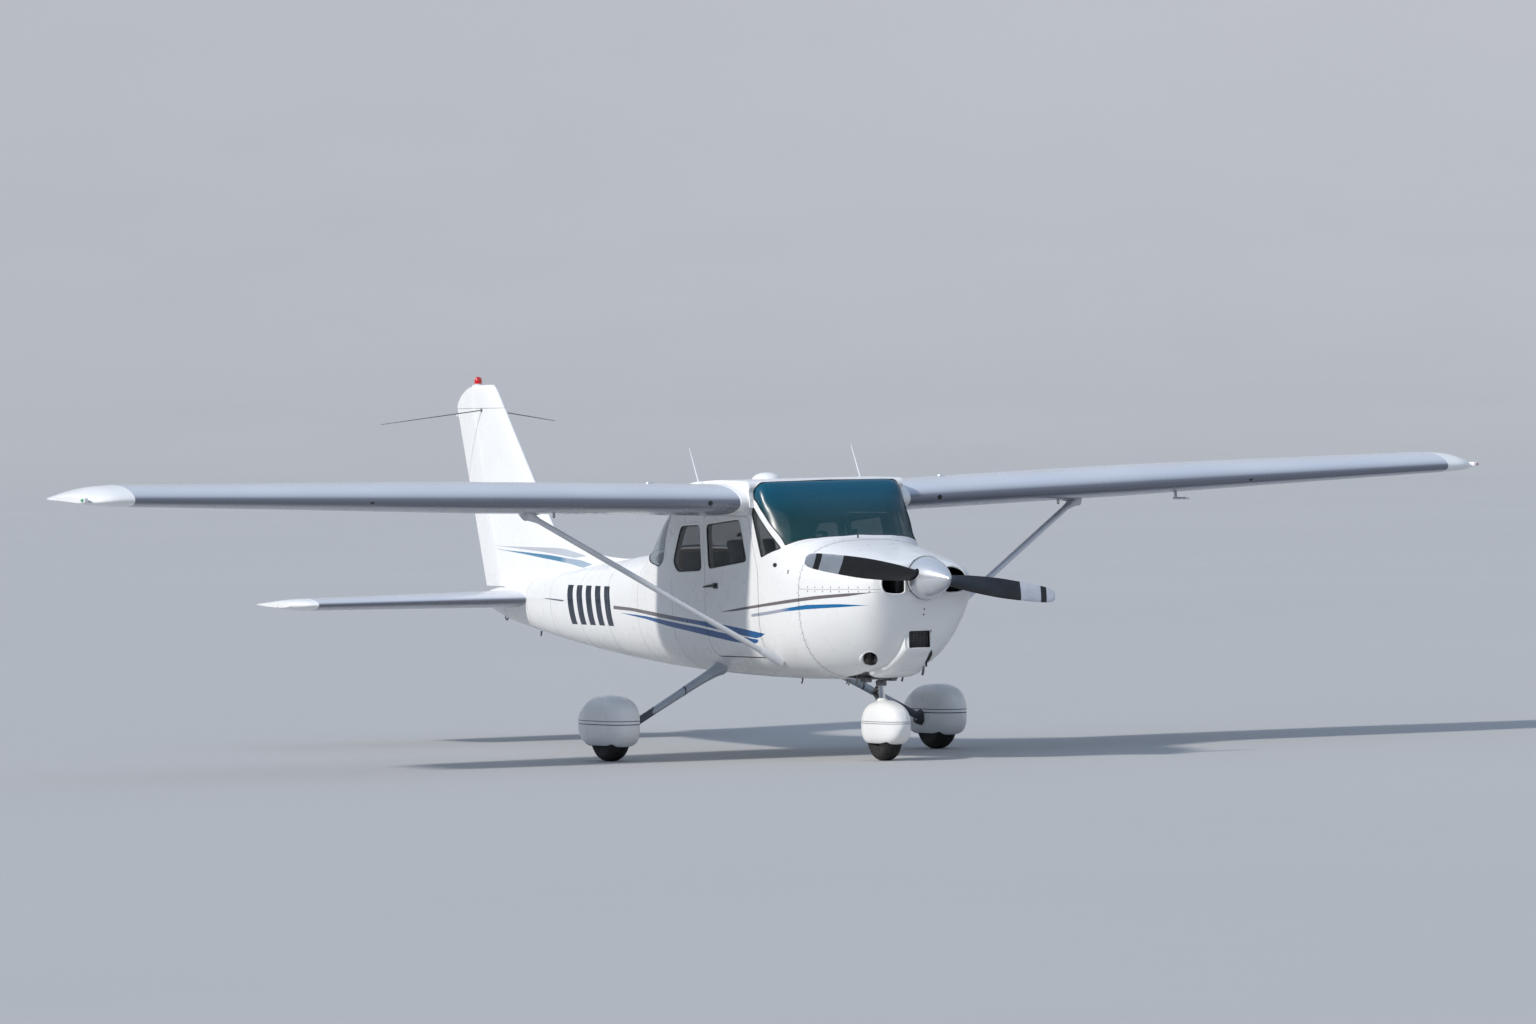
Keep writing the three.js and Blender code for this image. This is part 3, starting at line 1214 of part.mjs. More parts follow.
// Inside the cabin
function interior() {

	const room = body( CABIN.front + CABIN.firewall + SEAM, CABIN.back - SEAM, y => {

		const wall = cabinWall( y );
		return { side: wall.side + SEAM, top: wall.top + SEAM, bottom: wall.bottom + SEAM };

	} );
	const under = [ FLOOR.up[ 0 ], SEAT.level - SEAM ];
	const pedestals = PEDESTALS.map( ( { across, along } ) => box( across, along, under ) );
	const floor = withAll( box( BOTH, FLOOR.along, FLOOR.up ), pedestals );
	add( 'cabin_floor', room.intersect( floor ), TRIM );
	add( 'rear_bulkhead', room.intersect( box( BOTH, BULKHEAD.along, BULKHEAD.up ) ), CREAM );
	const panel = box( BOTH, PANEL.along, PANEL.up ).add( sidePrism( PANEL.shelf, ...BOTH ) );
	add( 'instrument_panel', room.intersect( panel ), TRIM );
	addPair( 'front_seat', sidePrism( SEAT.side, ...SEAT.across ), CLOTH );
	add( 'rear_bench', sidePrism( BENCH.side, ...BENCH.across ), CLOTH );

}

function controlWheels() {

	const { x, y, z, shaft, grip, half, splay, top } = YOKE;
	const rod = bar( [ x, PANEL.along[ 1 ] + SEAM, z ], [ x, y - splay, z ], shaft, 8 );
	const crossbar = bar( [ x - half, y, z ], [ x + half, y, z ], grip, 8 );
	const horns = [ - 1, 1 ].map( side => bar( [ x + side * ( half - splay ), y, z - splay ],
		[ x + side * ( half + splay ), y, top ], grip, 8 ) );
	addPair( 'control_wheel', withAll( rod, [ crossbar, ...horns ] ), BLACK );

}

wings();
wingStruts();
cabin();
cowl();
engine();
propeller();
spinner();
tail();
beacon();
navAerials();
roofDome();
pitotTube();
mainGear();
noseLeg();
noseWheel();
interior();
controlWheels();

export default aircraft;
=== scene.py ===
# %% [markdown]
# # A light aircraft, dressed in Blender
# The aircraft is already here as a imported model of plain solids, in metres. This lesson gives each
# solid its real surface: a solid whose shape is right gets a better finish, and a coarse one is
# replaced by a smoother mesh in the same place. One frame is used for both, so nothing is fitted.

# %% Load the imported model
import math

import bmesh
import bpy
import numpy as np
from mathutils import Matrix, Vector


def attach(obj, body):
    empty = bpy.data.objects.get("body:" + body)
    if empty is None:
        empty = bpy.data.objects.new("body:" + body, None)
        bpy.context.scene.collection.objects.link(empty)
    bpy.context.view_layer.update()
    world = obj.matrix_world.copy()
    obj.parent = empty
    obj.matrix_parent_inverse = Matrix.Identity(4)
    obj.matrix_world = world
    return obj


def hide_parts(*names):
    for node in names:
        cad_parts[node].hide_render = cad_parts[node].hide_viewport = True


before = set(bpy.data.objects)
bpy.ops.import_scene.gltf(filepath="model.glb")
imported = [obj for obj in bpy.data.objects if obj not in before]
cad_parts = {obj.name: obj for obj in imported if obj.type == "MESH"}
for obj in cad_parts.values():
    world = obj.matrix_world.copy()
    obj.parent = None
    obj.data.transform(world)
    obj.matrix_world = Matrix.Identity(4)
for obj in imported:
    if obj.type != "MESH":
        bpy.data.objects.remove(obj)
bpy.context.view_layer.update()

scene = bpy.context.scene

# %% [markdown]
# ## The camera
# The picture was taken from far off with a long lens, low down, ahead of the right wing. A camera is
# best placed by its position and three turns, because then every edge of the aircraft lines up by
# itself. No depth of field is used: at this distance all of the aircraft is sharp.

# %% Camera
EYE = Vector((-31.812, -65.546, 2.663))
HEADING, PITCH, ROLL = (math.radians(v) for v in (26.3176, -0.7507, -1.2055))
LENS_MM = 236.9  # on a sensor 36 mm wide

look = Vector((math.sin(HEADING) * math.cos(PITCH), math.cos(HEADING) * math.cos(PITCH), math.sin(PITCH)))
level = Vector((math.cos(HEADING), -math.sin(HEADING), 0))
upright = level.cross(look)
right = math.cos(ROLL) * level + math.sin(ROLL) * upright
up = math.cos(ROLL) * upright - math.sin(ROLL) * level
camera = bpy.data.objects.new("camera", bpy.data.cameras.new("camera"))
camera.data.lens, camera.data.clip_end = LENS_MM, 1000
camera.matrix_world = Matrix.Translation(EYE) @ Matrix((right, up, -look)).transposed().to_4x4()
scene.collection.objects.link(camera)
scene.camera = camera
print("camera at", tuple(round(v, 2) for v in EYE))

# %% [markdown]
# ## Helpers for shapes
# Lengths in this lesson are in millimetres, counted aft of the firewall as on a drawing, and one
# function turns them into the model's metres. Most skins of an aircraft are lofts: closed sections
# set one behind the other. `eased` runs a smooth curve through a table of sections without ever
# bulging past them, so that a short table gives a fair surface.

# %% Points, curves and lofts
FIREWALL = -2.789  # metres along Y
AIRFRAME, MAIN_SLOT = "airframe", "white_paint"  # the body that carries most pieces, and their material slot


def placed(points):
    """Drawing millimetres to metres in the aircraft's own frame."""
    return np.asarray(points, float) * 0.001 + (0, FIREWALL, 0)


def eased(xs, ys, at):
    """A smooth curve through points that never overshoots them, read off at other places."""
    xs, ys, at = (np.asarray(v, float) for v in (xs, ys, at))
    step = np.diff(xs)
    rise = np.diff(ys) / step
    slope = np.r_[rise[0], np.zeros(len(xs) - 2), rise[-1]]
    for i in range(1, len(xs) - 1):
        if rise[i - 1] * rise[i] > 0:
            slope[i] = 2 * rise[i - 1] * rise[i] / (rise[i - 1] + rise[i])
    i = np.clip(np.searchsorted(xs, at, side="right") - 1, 0, len(xs) - 2)
    t = (at - xs[i]) / step[i]
    ends = (1 + 2 * t) * (1 - t) ** 2 * ys[i] + t * t * (3 - 2 * t) * ys[i + 1]
    return ends + t * (1 - t) * step[i] * ((1 - t) * slope[i] - t * slope[i + 1])


def eased_rows(rows, steps):
    """A table of sections made finer: every column is eased along the row number."""
    rows = np.asarray(rows, float)
    at = np.linspace(0, len(rows) - 1, steps)
    return np.stack([eased(np.arange(len(rows)), column, at) for column in rows.T], 1)


def loft(rings, looped=False, capped=True):
    """Points and faces of a skin over equal closed rings. A looped loft joins its last ring to its first."""
    rings = np.asarray(rings, float)
    count, size = rings.shape[:2]
    faces = []
    for i in range(count if looped else count - 1):
        a, b = i * size, (i + 1) % count * size
        faces += [(a + j, a + (j + 1) % size, b + (j + 1) % size, b + j) for j in range(size)]
    if capped and not looped:
        faces += [tuple(range(size))[::-1], tuple(range((count - 1) * size, count * size))]
    return rings.reshape(-1, 3), faces


def joined(*made):
    """Several sets of points and faces as one."""
    points, faces, start = [], [], 0
    for some_points, some_faces in made:
        points.append(some_points)
        faces += [tuple(start + k for k in face) for face in some_faces]
        start += len(some_points)
    return np.concatenate(points), faces


def mirrored(made, side):
    """The same on the other side where side is -1."""
    return made[0] * (side, 1, 1), made[1]


def stood(section, across, aft=0.0, height=0.0):
    """A flat section, drawn as (along, up), stood upright at a place."""
    return np.insert(np.asarray(section, float) + (aft, height), 0, across, axis=1)


def full_turn(count):
    """Even angles once round."""
    return np.linspace(0, 2 * np.pi, count, endpoint=False)


print("a curve through 0, 2 and 1, read between them:", eased((0, 1, 2), (0, 2, 1), (0.5, 1.5)))


# %% Tubes
def tube(path, radius, sides=12, looped=False):
    """A round bar along a path. The radius may change from point to point."""
    path = np.asarray(path, float)
    radii = np.broadcast_to(np.asarray(radius, float), len(path))
    ahead = np.roll(path, -1, 0) - np.roll(path, 1, 0)
    if not looped:
        ahead[0], ahead[-1] = path[1] - path[0], path[-1] - path[-2]
    ahead /= np.linalg.norm(ahead, axis=1)[:, None]
    across = np.cross(ahead[0], (0, 0, 1) if abs(ahead[0][2]) < 0.9 else (1, 0, 0))
    turn = full_turn(sides)
    rings = []
    for point, along, r in zip(path, ahead, radii):
        across = across - along * (across @ along)
        across /= np.linalg.norm(across)
        other = np.cross(along, across)
        rings.append(point + r * (np.cos(turn)[:, None] * across + np.sin(turn)[:, None] * other))
    return loft(rings, looped)


print("faces of a short tube:", len(tube([(0, 0, 0), (0, 0, 50)], 5)[1]))


# %% Turned shapes and outlines
def turned(profile, centre, axis="x", sides=48, looped=False):
    """A profile of (radius, distance) pairs turned about an axis through a point."""
    k = "xyz".index(axis)
    turn = full_turn(sides)
    rings = []
    for radius, distance in profile:
        ring = np.zeros((sides, 3))
        ring[:, k] = distance
        ring[:, (k + 1) % 3], ring[:, (k + 2) % 3] = radius * np.cos(turn), radius * np.sin(turn)
        rings.append(ring + centre)
    return loft(rings, looped)


def oval_ring(x, y, z, long, tall, count=40):
    """An upright oval, seen from the side."""
    turn = full_turn(count)
    return np.stack([np.full(count, x), y + long * np.cos(turn), z + tall * np.sin(turn)], 1)


def prism(outline, axis, low, high):
    """An outline pushed along an axis. Its two columns are the other axes, in the order x, y, z."""
    rings = np.insert(np.asarray(outline, float)[None].repeat(2, 0), "xyz".index(axis), 0, axis=2)
    rings[0, :, "xyz".index(axis)], rings[1, :, "xyz".index(axis)] = low, high
    return loft(rings)


def rounded(corners, radius, steps=6):
    """Corners of an outline drawn as small curves."""
    corners = np.asarray(corners, float)
    made = []
    for before, corner, after in zip(np.roll(corners, 1, 0), corners, np.roll(corners, -1, 0)):
        reach = min(radius, np.hypot(*(before - corner)) * 0.49, np.hypot(*(after - corner)) * 0.49)
        a = corner + (before - corner) / np.hypot(*(before - corner)) * reach
        b = corner + (after - corner) / np.hypot(*(after - corner)) * reach
        for t in np.linspace(0, 1, steps):
            made.append((1 - t) ** 2 * a + 2 * t * (1 - t) * corner + t * t * b)
    return np.array(made)


print("corners of a rounded square:", len(rounded([(0, 0), (9, 0), (9, 9), (0, 9)], 2)))


# %% Blocks and larger outlines
def block(x, y, z, edge=4):
    """A box between three pairs of limits, with its edges rounded off."""
    shape = bmesh.new()
    bmesh.ops.create_cube(shape, size=1)
    for vertex in shape.verts:
        vertex.co = [(pair[0] + pair[1]) / 2 + (pair[1] - pair[0]) * c for pair, c in zip((x, y, z), vertex.co)]
    bmesh.ops.bevel(shape, geom=shape.edges[:], offset=edge, segments=3, profile=0.5, affect="EDGES")
    made = np.array([v.co[:] for v in shape.verts]), [tuple(v.index for v in f.verts) for f in shape.faces]
    shape.free()
    return made


def grown(corners, distance):
    """An outline moved outwards by a distance."""
    corners = np.asarray(corners, float)
    ahead = np.roll(corners, -1, 0) - corners
    ahead /= np.linalg.norm(ahead, axis=1)[:, None]
    area = np.sum(corners[:, 0] * np.roll(corners[:, 1], -1) - np.roll(corners[:, 0], -1) * corners[:, 1])
    out = np.stack([ahead[:, 1], -ahead[:, 0]], 1) * np.sign(area)
    both = out + np.roll(out, 1, 0)
    return corners + distance * both * 2 / np.sum(both * both, 1)[:, None]


print("a square of 9 mm grown by 1 mm:", grown([(0, 0), (9, 0), (9, 9), (0, 9)], 1).tolist())

# %% [markdown]
# ## From points to pieces
# `raw` makes a mesh object with its finish, `cut` trims it with another one, and `settle` says what the
# piece is in the model: the body that carries it and the imported solids that it stands for. Openings
# are cut with the exact boolean, which also carries over the cutter's finish to the cut faces.

# %% Pieces
def raw(name, made, finish):
    """A closed mesh object with its faces turned outwards."""
    mesh = bpy.data.meshes.new(name)
    mesh.from_pydata(placed(made[0]).tolist(), [], made[1])
    shape = bmesh.new()
    shape.from_mesh(mesh)
    bmesh.ops.remove_doubles(shape, verts=shape.verts, dist=1e-6)
    bmesh.ops.recalc_face_normals(shape, faces=shape.faces)
    shape.to_mesh(mesh)
    shape.free()
    mesh.materials.append(finish)
    piece = bpy.data.objects.new(name, mesh)
    scene.collection.objects.link(piece)
    return piece


def cut(piece, tool, how="DIFFERENCE"):
    """The piece with another one taken away, added, or kept only where both are."""
    modifier = piece.modifiers.new("cut", "BOOLEAN")
    modifier.operation, modifier.object, modifier.solver = how, tool, "EXACT"
    modifier.material_mode = "TRANSFER"
    trimmed = piece.evaluated_get(bpy.context.evaluated_depsgraph_get())
    mesh = bpy.data.meshes.new_from_object(trimmed)
    piece.modifiers.clear()
    piece.data = mesh
    bpy.data.objects.remove(tool)
    return piece


def without(piece, made, finish):
    """The piece with a form taken out of it."""
    return cut(piece, raw("cutter", made, finish))


def within(piece, made, finish):
    """The piece kept only where it lies inside a form."""
    return cut(piece, raw("cutter", made, finish), "INTERSECT")


def settle(piece, rides=AIRFRAME, stands_for=(), sharp=32):
    """Smooth shading with crisp corners, the body that carries the piece, and what it stands for."""
    piece.data.shade_smooth()
    piece.data.set_sharp_from_angle(angle=math.radians(sharp))
    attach(piece, rides)
    if stands_for:
        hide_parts(*stands_for)
    print(f"{piece.name}: {len(piece.data.polygons)} faces on {rides}")
    return piece


def part(name, made, finish, rides=AIRFRAME, stands_for=(), sharp=32):
    """A piece that needs no cutting."""
    return settle(raw(name, made, finish), rides, stands_for, sharp)


SIDES = ((1, "left"), (-1, "right"))  # the port side is +X


def on_side(side, near, far):
    """Two limits across the aircraft, put on one side of it, the lower one first."""
    return sorted((side * near, side * far))


print("helpers ready, sides:", [hand for _, hand in SIDES])

# %% [markdown]
# ## The finishes
# Nothing real is one flat colour. Paint has a faint cloudiness and a wavy gloss, rubber is dusty and
# metal is brushed. Every finish here is made by the same few nodes: one noise that shifts the colour,
# one that shifts the roughness and one that raises the surface. Object coordinates are used, so a
# finish stays on its piece when the piece turns. The wing paint also carries a painted reflection and
# painted shade, darkest where its skin faces ahead.

# %% Building blocks of a finish
def node(tree, kind, inputs=None, **settings):
    """A shader node with its settings, and its inputs given as values or as sockets to link."""
    made = tree.nodes.new("ShaderNode" + kind)
    for key, value in settings.items():
        setattr(made, key, value)
    for key, value in (inputs or {}).items():
        if isinstance(value, bpy.types.NodeSocket):
            tree.links.new(value, made.inputs[key])
        else:
            made.inputs[key].default_value = value
    return made


def maths(tree, operation, a, b=0.0, c=0.0):
    """One sum on numbers or sockets."""
    return node(tree, "Math", {0: a, 1: b, 2: c}, operation=operation).outputs[0]


def mixed(tree, share, a, b):
    """A colour between two others."""
    return node(tree, "Mix", {0: share, 6: a, 7: b}, data_type="RGBA").outputs[2]


def noise(tree, place, scale):
    return node(tree, "TexNoise", {"Vector": place, "Scale": scale, "Detail": 3.0}).outputs["Fac"]


def spread(tree, value, low, high, to_low, to_high):
    """A number moved from one range to another and kept in it."""
    return node(tree, "MapRange", {0: value, 1: low, 2: high, 3: to_low, 4: to_high}).outputs[0]


def finish(name, colour, rough, vary=0.06, cloud=2.5, grain=0.0, grain_scale=400.0, **shader_values):
    """A procedural material. Returns it with its tree, the coordinate and the socket that holds its colour."""
    material = bpy.data.materials.new(name)
    material.use_nodes = True
    tree = material.node_tree
    shader = tree.nodes["Principled BSDF"]
    for key, value in shader_values.items():
        shader.inputs[key.replace("_", " ").title().replace("Ior", "IOR")].default_value = value
    place = node(tree, "TexCoord").outputs["Object"]
    darker = [c * (1 - vary) for c in colour] + [1]
    patch = spread(tree, noise(tree, place, cloud), 0.35, 0.65, 0.0, 1.0)
    tone = mixed(tree, patch, darker, [*colour, 1])
    tree.links.new(tone, shader.inputs["Base Color"])
    uneven = spread(tree, noise(tree, place, cloud * 4), 0.3, 0.7, rough * 0.85, min(1.0, rough * 1.2))
    tree.links.new(uneven, shader.inputs["Roughness"])
    if grain:
        bump = node(tree, "Bump", {"Height": noise(tree, place, grain_scale), "Strength": 0.6, "Distance": grain})
        tree.links.new(bump.outputs[0], shader.inputs["Normal"])
    return material, tree, place, tone


# %% Plain finishes
def plain(*values, **more):
    return finish(*values, **more)[0]


WHITE = (0.86, 0.865, 0.86)
PEEL = dict(coat_weight=0.2, coat_roughness=0.08, specular_ior_level=0.25)
# Painted reflection and shade on the wing paint: a dark band where the skin faces ahead, weaker underneath, none on
# top.
PAINTED_REFLECTION_SHADE = (0.20, 0.215, 0.255)  # darkest where the skin faces ahead, weaker below, and none on top
wing_paint, tree, place, tone = finish("wing_paint", (0.68, 0.71, 0.77), 0.24, cloud=1.5, metallic=0.25, **PEEL)
facing = node(tree, "SeparateXYZ", {0: node(tree, "TexCoord").outputs["Normal"]}).outputs["Z"]
off_top, off_below = spread(tree, facing, 0.45, 0.94, 1.0, 0.0), spread(tree, facing, -0.98, -0.8, 0.6, 1.0)
with_painted_reflection = mixed(tree, maths(tree, "MULTIPLY", off_top, off_below), tone, [*PAINTED_REFLECTION_SHADE, 1])
tree.links.new(with_painted_reflection, tree.nodes["Principled BSDF"].inputs["Base Color"])
white_paint = plain("white_paint", WHITE, 0.3, vary=0.03, **PEEL)
strut_paint = plain("strut_paint", (0.66, 0.68, 0.71), 0.3, vary=0.06, **PEEL)
leg_paint = plain("leg_paint", (0.47, 0.52, 0.58), 0.35, vary=0.12, cloud=9, **PEEL)
sleeve_grey = plain("sleeve_grey", (0.10, 0.11, 0.14), 0.5, vary=0.3, cloud=20, grain=0.0004)
satin_metal = plain("satin_metal", (0.72, 0.74, 0.77), 0.25, vary=0.04, cloud=1.2, metallic=0.65)
bright_steel = plain("bright_steel", (0.75, 0.76, 0.78), 0.16, vary=0.1, metallic=1.0, grain=0.0001)
dull_steel = plain("dull_steel", (0.22, 0.22, 0.23), 0.45, vary=0.3, cloud=25, metallic=0.8, grain=0.0005)
engine_grey = plain("engine_grey", (0.16, 0.165, 0.17), 0.55, vary=0.3, cloud=12, metallic=0.5, grain=0.001,
                    grain_scale=90.0)
sooty = plain("sooty_steel", (0.045, 0.04, 0.038), 0.6, vary=0.4, cloud=30, metallic=0.4, grain=0.0005)
blade_black = plain("blade_black", (0.018, 0.02, 0.024), 0.34, vary=0.4, cloud=14, grain=0.0002)
blade_silver = plain("blade_silver", (0.62, 0.65, 0.70), 0.35, vary=0.15, cloud=14, grain=0.0002)
rubber = plain("tyre_rubber", (0.022, 0.021, 0.021), 0.75, vary=0.5, cloud=16, grain=0.0015, grain_scale=160.0)
seal_black = plain("seal_black", (0.02, 0.021, 0.023), 0.6, vary=0.3, grain=0.0004)
seam_grey = plain("seam_grey", (0.30, 0.31, 0.32), 0.6, vary=0.2, cloud=12, grain=0.0002)
trim_dark = plain("trim_dark", (0.055, 0.06, 0.062), 0.62, vary=0.2, grain=0.0008, grain_scale=700.0)
glare_teal = plain("glare_shield", (0.16, 0.20, 0.20), 0.8, vary=0.2, grain=0.0008, grain_scale=500.0)
cream = plain("cream_trim", (0.62, 0.53, 0.36), 0.6, vary=0.1, cloud=8, grain=0.0006, grain_scale=500.0)
carpet = plain("carpet", (0.14, 0.15, 0.17), 0.95, vary=0.4, cloud=60, grain=0.004, grain_scale=900.0,
               sheen_weight=0.4)
red_glass = plain("red_lens", (0.72, 0.015, 0.02), 0.12, vary=0.2, cloud=60, coat_weight=1.0)
green_glass = plain("green_lens", (0.01, 0.45, 0.12), 0.12, vary=0.2, cloud=60, coat_weight=1.0)
lamp_glass = plain("lamp_glass", (0.85, 0.87, 0.9), 0.08, vary=0.1, cloud=60, coat_weight=1.0)
dial_white = plain("dial_white", (0.8, 0.8, 0.76), 0.6, vary=0.05, cloud=50)
print("plain finishes made")

# %% [markdown]
# ## Glass
# The windscreen is tinted teal and is darkest at its top edge, and the other panes are almost clear.
# A solid that bends light would leave the cabin black in a short render, so the panes are see-through
# by alpha and keep their gloss, which is how thin acrylic looks from outside.

# %% Panes
def pane(name, colour, see_through, dark_between=None):
    """A see-through finish. It may darken towards the top between two heights in metres."""
    material, tree, place, tone = finish(name, colour, 0.25, vary=0.1, coat_weight=0.2, coat_roughness=0.3,
                                         specular_ior_level=0.3)
    shader = tree.nodes["Principled BSDF"]
    if dark_between:
        height = node(tree, "SeparateXYZ", {0: place}).outputs["Z"]
        tree.links.new(spread(tree, height, *dark_between, 1 - see_through, 0.95), shader.inputs["Alpha"])
        deeper = mixed(tree, spread(tree, height, *dark_between, 0.0, 1.0), tone, [0.0, 0.085, 0.15, 1])
        tree.links.new(deeper, shader.inputs["Base Color"])
    else:
        shader.inputs["Alpha"].default_value = 1 - see_through
    return material


tinted = pane("tinted_pane", (0.006, 0.055, 0.065), 0.36, (1.68, 1.90))
side_tint = pane("side_pane", (0.02, 0.026, 0.024), 0.68)
clear = pane("clear_pane", (0.30, 0.36, 0.40), 0.6)
print("panes made")

# %% [markdown]
# ## Painted stripes
# The sides carry long stripes that taper to a point. Each could be a strip of mesh, but paint has no
# thickness and it runs on across a door gap, so the stripes are part of the paint itself. A stripe is
# an upper and a lower edge, both drawn as height against length, and the paint takes the stripe's
# colour where a point lies between them. The place of the registration holds plain bars.

# %% The stripes
NAVY, DEEP_BLUE, GREY_BROWN = (0.0, 0.08, 0.27), (0.0, 0.095, 0.29), (0.15, 0.135, 0.14)
TEAL_BLUE, LIGHT_GREY, SLATE = (0.002, 0.14, 0.35), (0.34, 0.36, 0.44), (0.05, 0.07, 0.12)
BAR_BLUE = (0.002, 0.010, 0.026)
# name, upper edge and lower edge as (aft, height) corners, rear colour, front colour, where it changes
STRIPES = (
    ("rear_upper", [(3345, 1037), (3337, 1050), (2923, 1041), (2349, 1013), (1226, 950), (915, 925), (521, 888)],
     [(3345, 1037), (3337, 1024), (2928, 1016), (2356, 984), (1574, 937), (990, 883), (643, 850), (521, 888)],
     GREY_BROWN, DEEP_BLUE, (2300, 1500)),
    ("rear_lower", [(3229, 1002), (2585, 984), (2151, 958), (1564, 920), (1190, 886), (920, 864), (655, 846)],
     [(3229, 1002), (2936, 982), (2593, 962), (2163, 921), (1647, 880), (1023, 822), (699, 806), (655, 846)],
     NAVY, NAVY, (2300, 1500)),
    ("aft_line", [(4966, 1082), (4800, 1084), (4459, 1076), (4450, 1069)],
     [(4966, 1082), (4460, 1063), (4450, 1069)], SLATE, SLATE, (4800, 4600)),
    ("front_upper", [(1222, 1033), (785, 1075), (567, 1094), (92, 1135), (-242, 1161), (-596, 1180), (-830, 1186)],
     [(1222, 1033), (971, 1041), (551, 1074), (93, 1110), (-241, 1136), (-591, 1158), (-830, 1186)],
     SLATE, GREY_BROWN, (1100, 700)),
    ("front_lower", [(705, 1014), (698, 1025), (431, 1047), (194, 1070), (-106, 1097), (-473, 1105), (-756, 1096)],
     [(705, 1014), (683, 1004), (433, 1023), (196, 1047), (-102, 1065), (-524, 1083), (-756, 1096)],
     LIGHT_GREY, TEAL_BLUE, (260, 120)),
    ("fin_upper", [(6200, 1466), (5893, 1459), (5165, 1452), (4919, 1445), (4678, 1412), (4546, 1390)],
     [(6200, 1466), (5894, 1452), (5572, 1436), (5264, 1420), (4982, 1398), (4740, 1376), (4546, 1390)],
     (0.50, 0.52, 0.57), (0.50, 0.55, 0.60), (5200, 4900)),
    # fin_lower is a blue stripe; its pale grey-blue front colour is painted shade and reflection.
    ("fin_lower", [(6201, 1446), (5845, 1428), (5474, 1414), (5167, 1399), (4862, 1375), (4620, 1361), (4440, 1330)],
     [(6201, 1446), (5845, 1422), (5475, 1395), (5157, 1366), (4863, 1339), (4719, 1322), (4600, 1302), (4440, 1330)],
     (0.09, 0.24, 0.38), (0.36, 0.45, 0.55), (4960, 4860)),
)
THINNEST = 0.0005  # metres; where a stripe is thinner, it ends
BARS = {"front": 3380, "pitch": 207, "share": 0.6, "count": 5, "low": 900, "high": 1188, "slant": 0.23}


def edge_height(tree, along, corners):
    """The height of a stripe's edge at each place along the aircraft."""
    curve = node(tree, "FloatCurve", {"Value": along})
    mapping = curve.mapping
    mapping.clip_min_x, mapping.clip_max_x, mapping.clip_min_y, mapping.clip_max_y = -10, 10, -10, 10
    mapping.extend = "HORIZONTAL"
    line = mapping.curves[0]
    corners = sorted(corners)
    while len(line.points) < len(corners):
        line.points.new(0.5, 0.5)
    for point, (y, z) in zip(line.points, corners):
        point.location = (y * 0.001 + FIREWALL, z * 0.001)
        point.handle_type = "VECTOR"
    mapping.update()
    return curve.outputs[0]


def striped_paint(name, colour, pinstripes=()):
    """White paint with the tapering stripes and the plain bars, or with level pinstripes alone."""
    material, tree, place, tone = finish(name, colour, 0.3, vary=0.03, **PEEL)
    axes = node(tree, "SeparateXYZ", {0: place})
    along, height = axes.outputs["Y"], axes.outputs["Z"]
    for _, upper, lower, rear, front, change in STRIPES if not pinstripes else ():
        below = maths(tree, "SUBTRACT", edge_height(tree, along, upper), height)
        above = maths(tree, "SUBTRACT", height, edge_height(tree, along, lower))
        inside = maths(tree, "GREATER_THAN", maths(tree, "MINIMUM", below, above), THINNEST)
        ends = np.array([upper[0][0], upper[-1][0]]) * 0.001 + FIREWALL
        reach = maths(tree, "COMPARE", along, float(ends.mean()), float(abs(ends[1] - ends[0])) / 2)
        inside = maths(tree, "MULTIPLY", inside, reach)
        limits = [v * 0.001 + FIREWALL for v in change]
        share = spread(tree, along, limits[1], limits[0], 1.0, 0.0)
        tone = mixed(tree, inside, tone, mixed(tree, share, [*rear, 1], [*front, 1]))
    if not pinstripes:
        low, high = BARS["low"] * 0.001, BARS["high"] * 0.001
        leaned = maths(tree, "MULTIPLY_ADD", height, -BARS["slant"], along)
        start = BARS["front"] * 0.001 + FIREWALL - BARS["slant"] * low
        count = maths(tree, "DIVIDE", maths(tree, "SUBTRACT", leaned, start), BARS["pitch"] * 0.001)
        bar = maths(tree, "LESS_THAN", maths(tree, "FRACT", count), BARS["share"])
        middle = maths(tree, "COMPARE", height, (low + high) / 2, (high - low) / 2)
        row = maths(tree, "COMPARE", count, BARS["count"] / 2, BARS["count"] / 2)
        inside = maths(tree, "MULTIPLY", maths(tree, "MULTIPLY", bar, middle), row)
        tone = mixed(tree, inside, tone, [*BAR_BLUE, 1])
    for at_height, half in pinstripes:
        tone = mixed(tree, maths(tree, "COMPARE", height, at_height, half), tone, [*SLATE, 1])
    tree.links.new(tone, tree.nodes["Principled BSDF"].inputs["Base Color"])
    return material


body_paint = striped_paint("body_paint", WHITE)
main_fairing_paint = striped_paint("main_fairing_paint", WHITE, ((0.286, 0.0028), (0.262, 0.0035)))
nose_fairing_paint = striped_paint("nose_fairing_paint", WHITE, ((0.274, 0.002), (0.261, 0.002)))
print(len(STRIPES), "stripes and", BARS["count"], "bars")

# %% [markdown]
# ## Floor and light
# The aircraft stands on a plain pale floor that rises far away, so that no edge shows behind it. One
# broad sun-like lamp from the aircraft's right gives soft shadows, and a pale sky fills them.

# %% Studio
floor_finish = plain("studio_floor", (0.47, 0.47, 0.465), 0.85, vary=0.02, cloud=0.05)
BOWL = ((0, 0), (200, 0), (225, 2), (255, 10), (285, 28), (310, 60), (322, 100))  # radius and height in metres
rows = eased_rows(BOWL, 40)
rings = [[(r * math.cos(t), r * math.sin(t), z) for t in full_turn(96)] for r, z in rows[1:]]
points, faces = loft(rings, capped=False)
faces = [face[::-1] for face in faces] + [tuple(range(96))]
floor_mesh = bpy.data.meshes.new("studio_floor")
floor_mesh.from_pydata(points.tolist(), [], faces)
floor_mesh.materials.append(floor_finish)
floor_mesh.shade_smooth()
floor = bpy.data.objects.new("studio_floor", floor_mesh)
scene.collection.objects.link(floor)

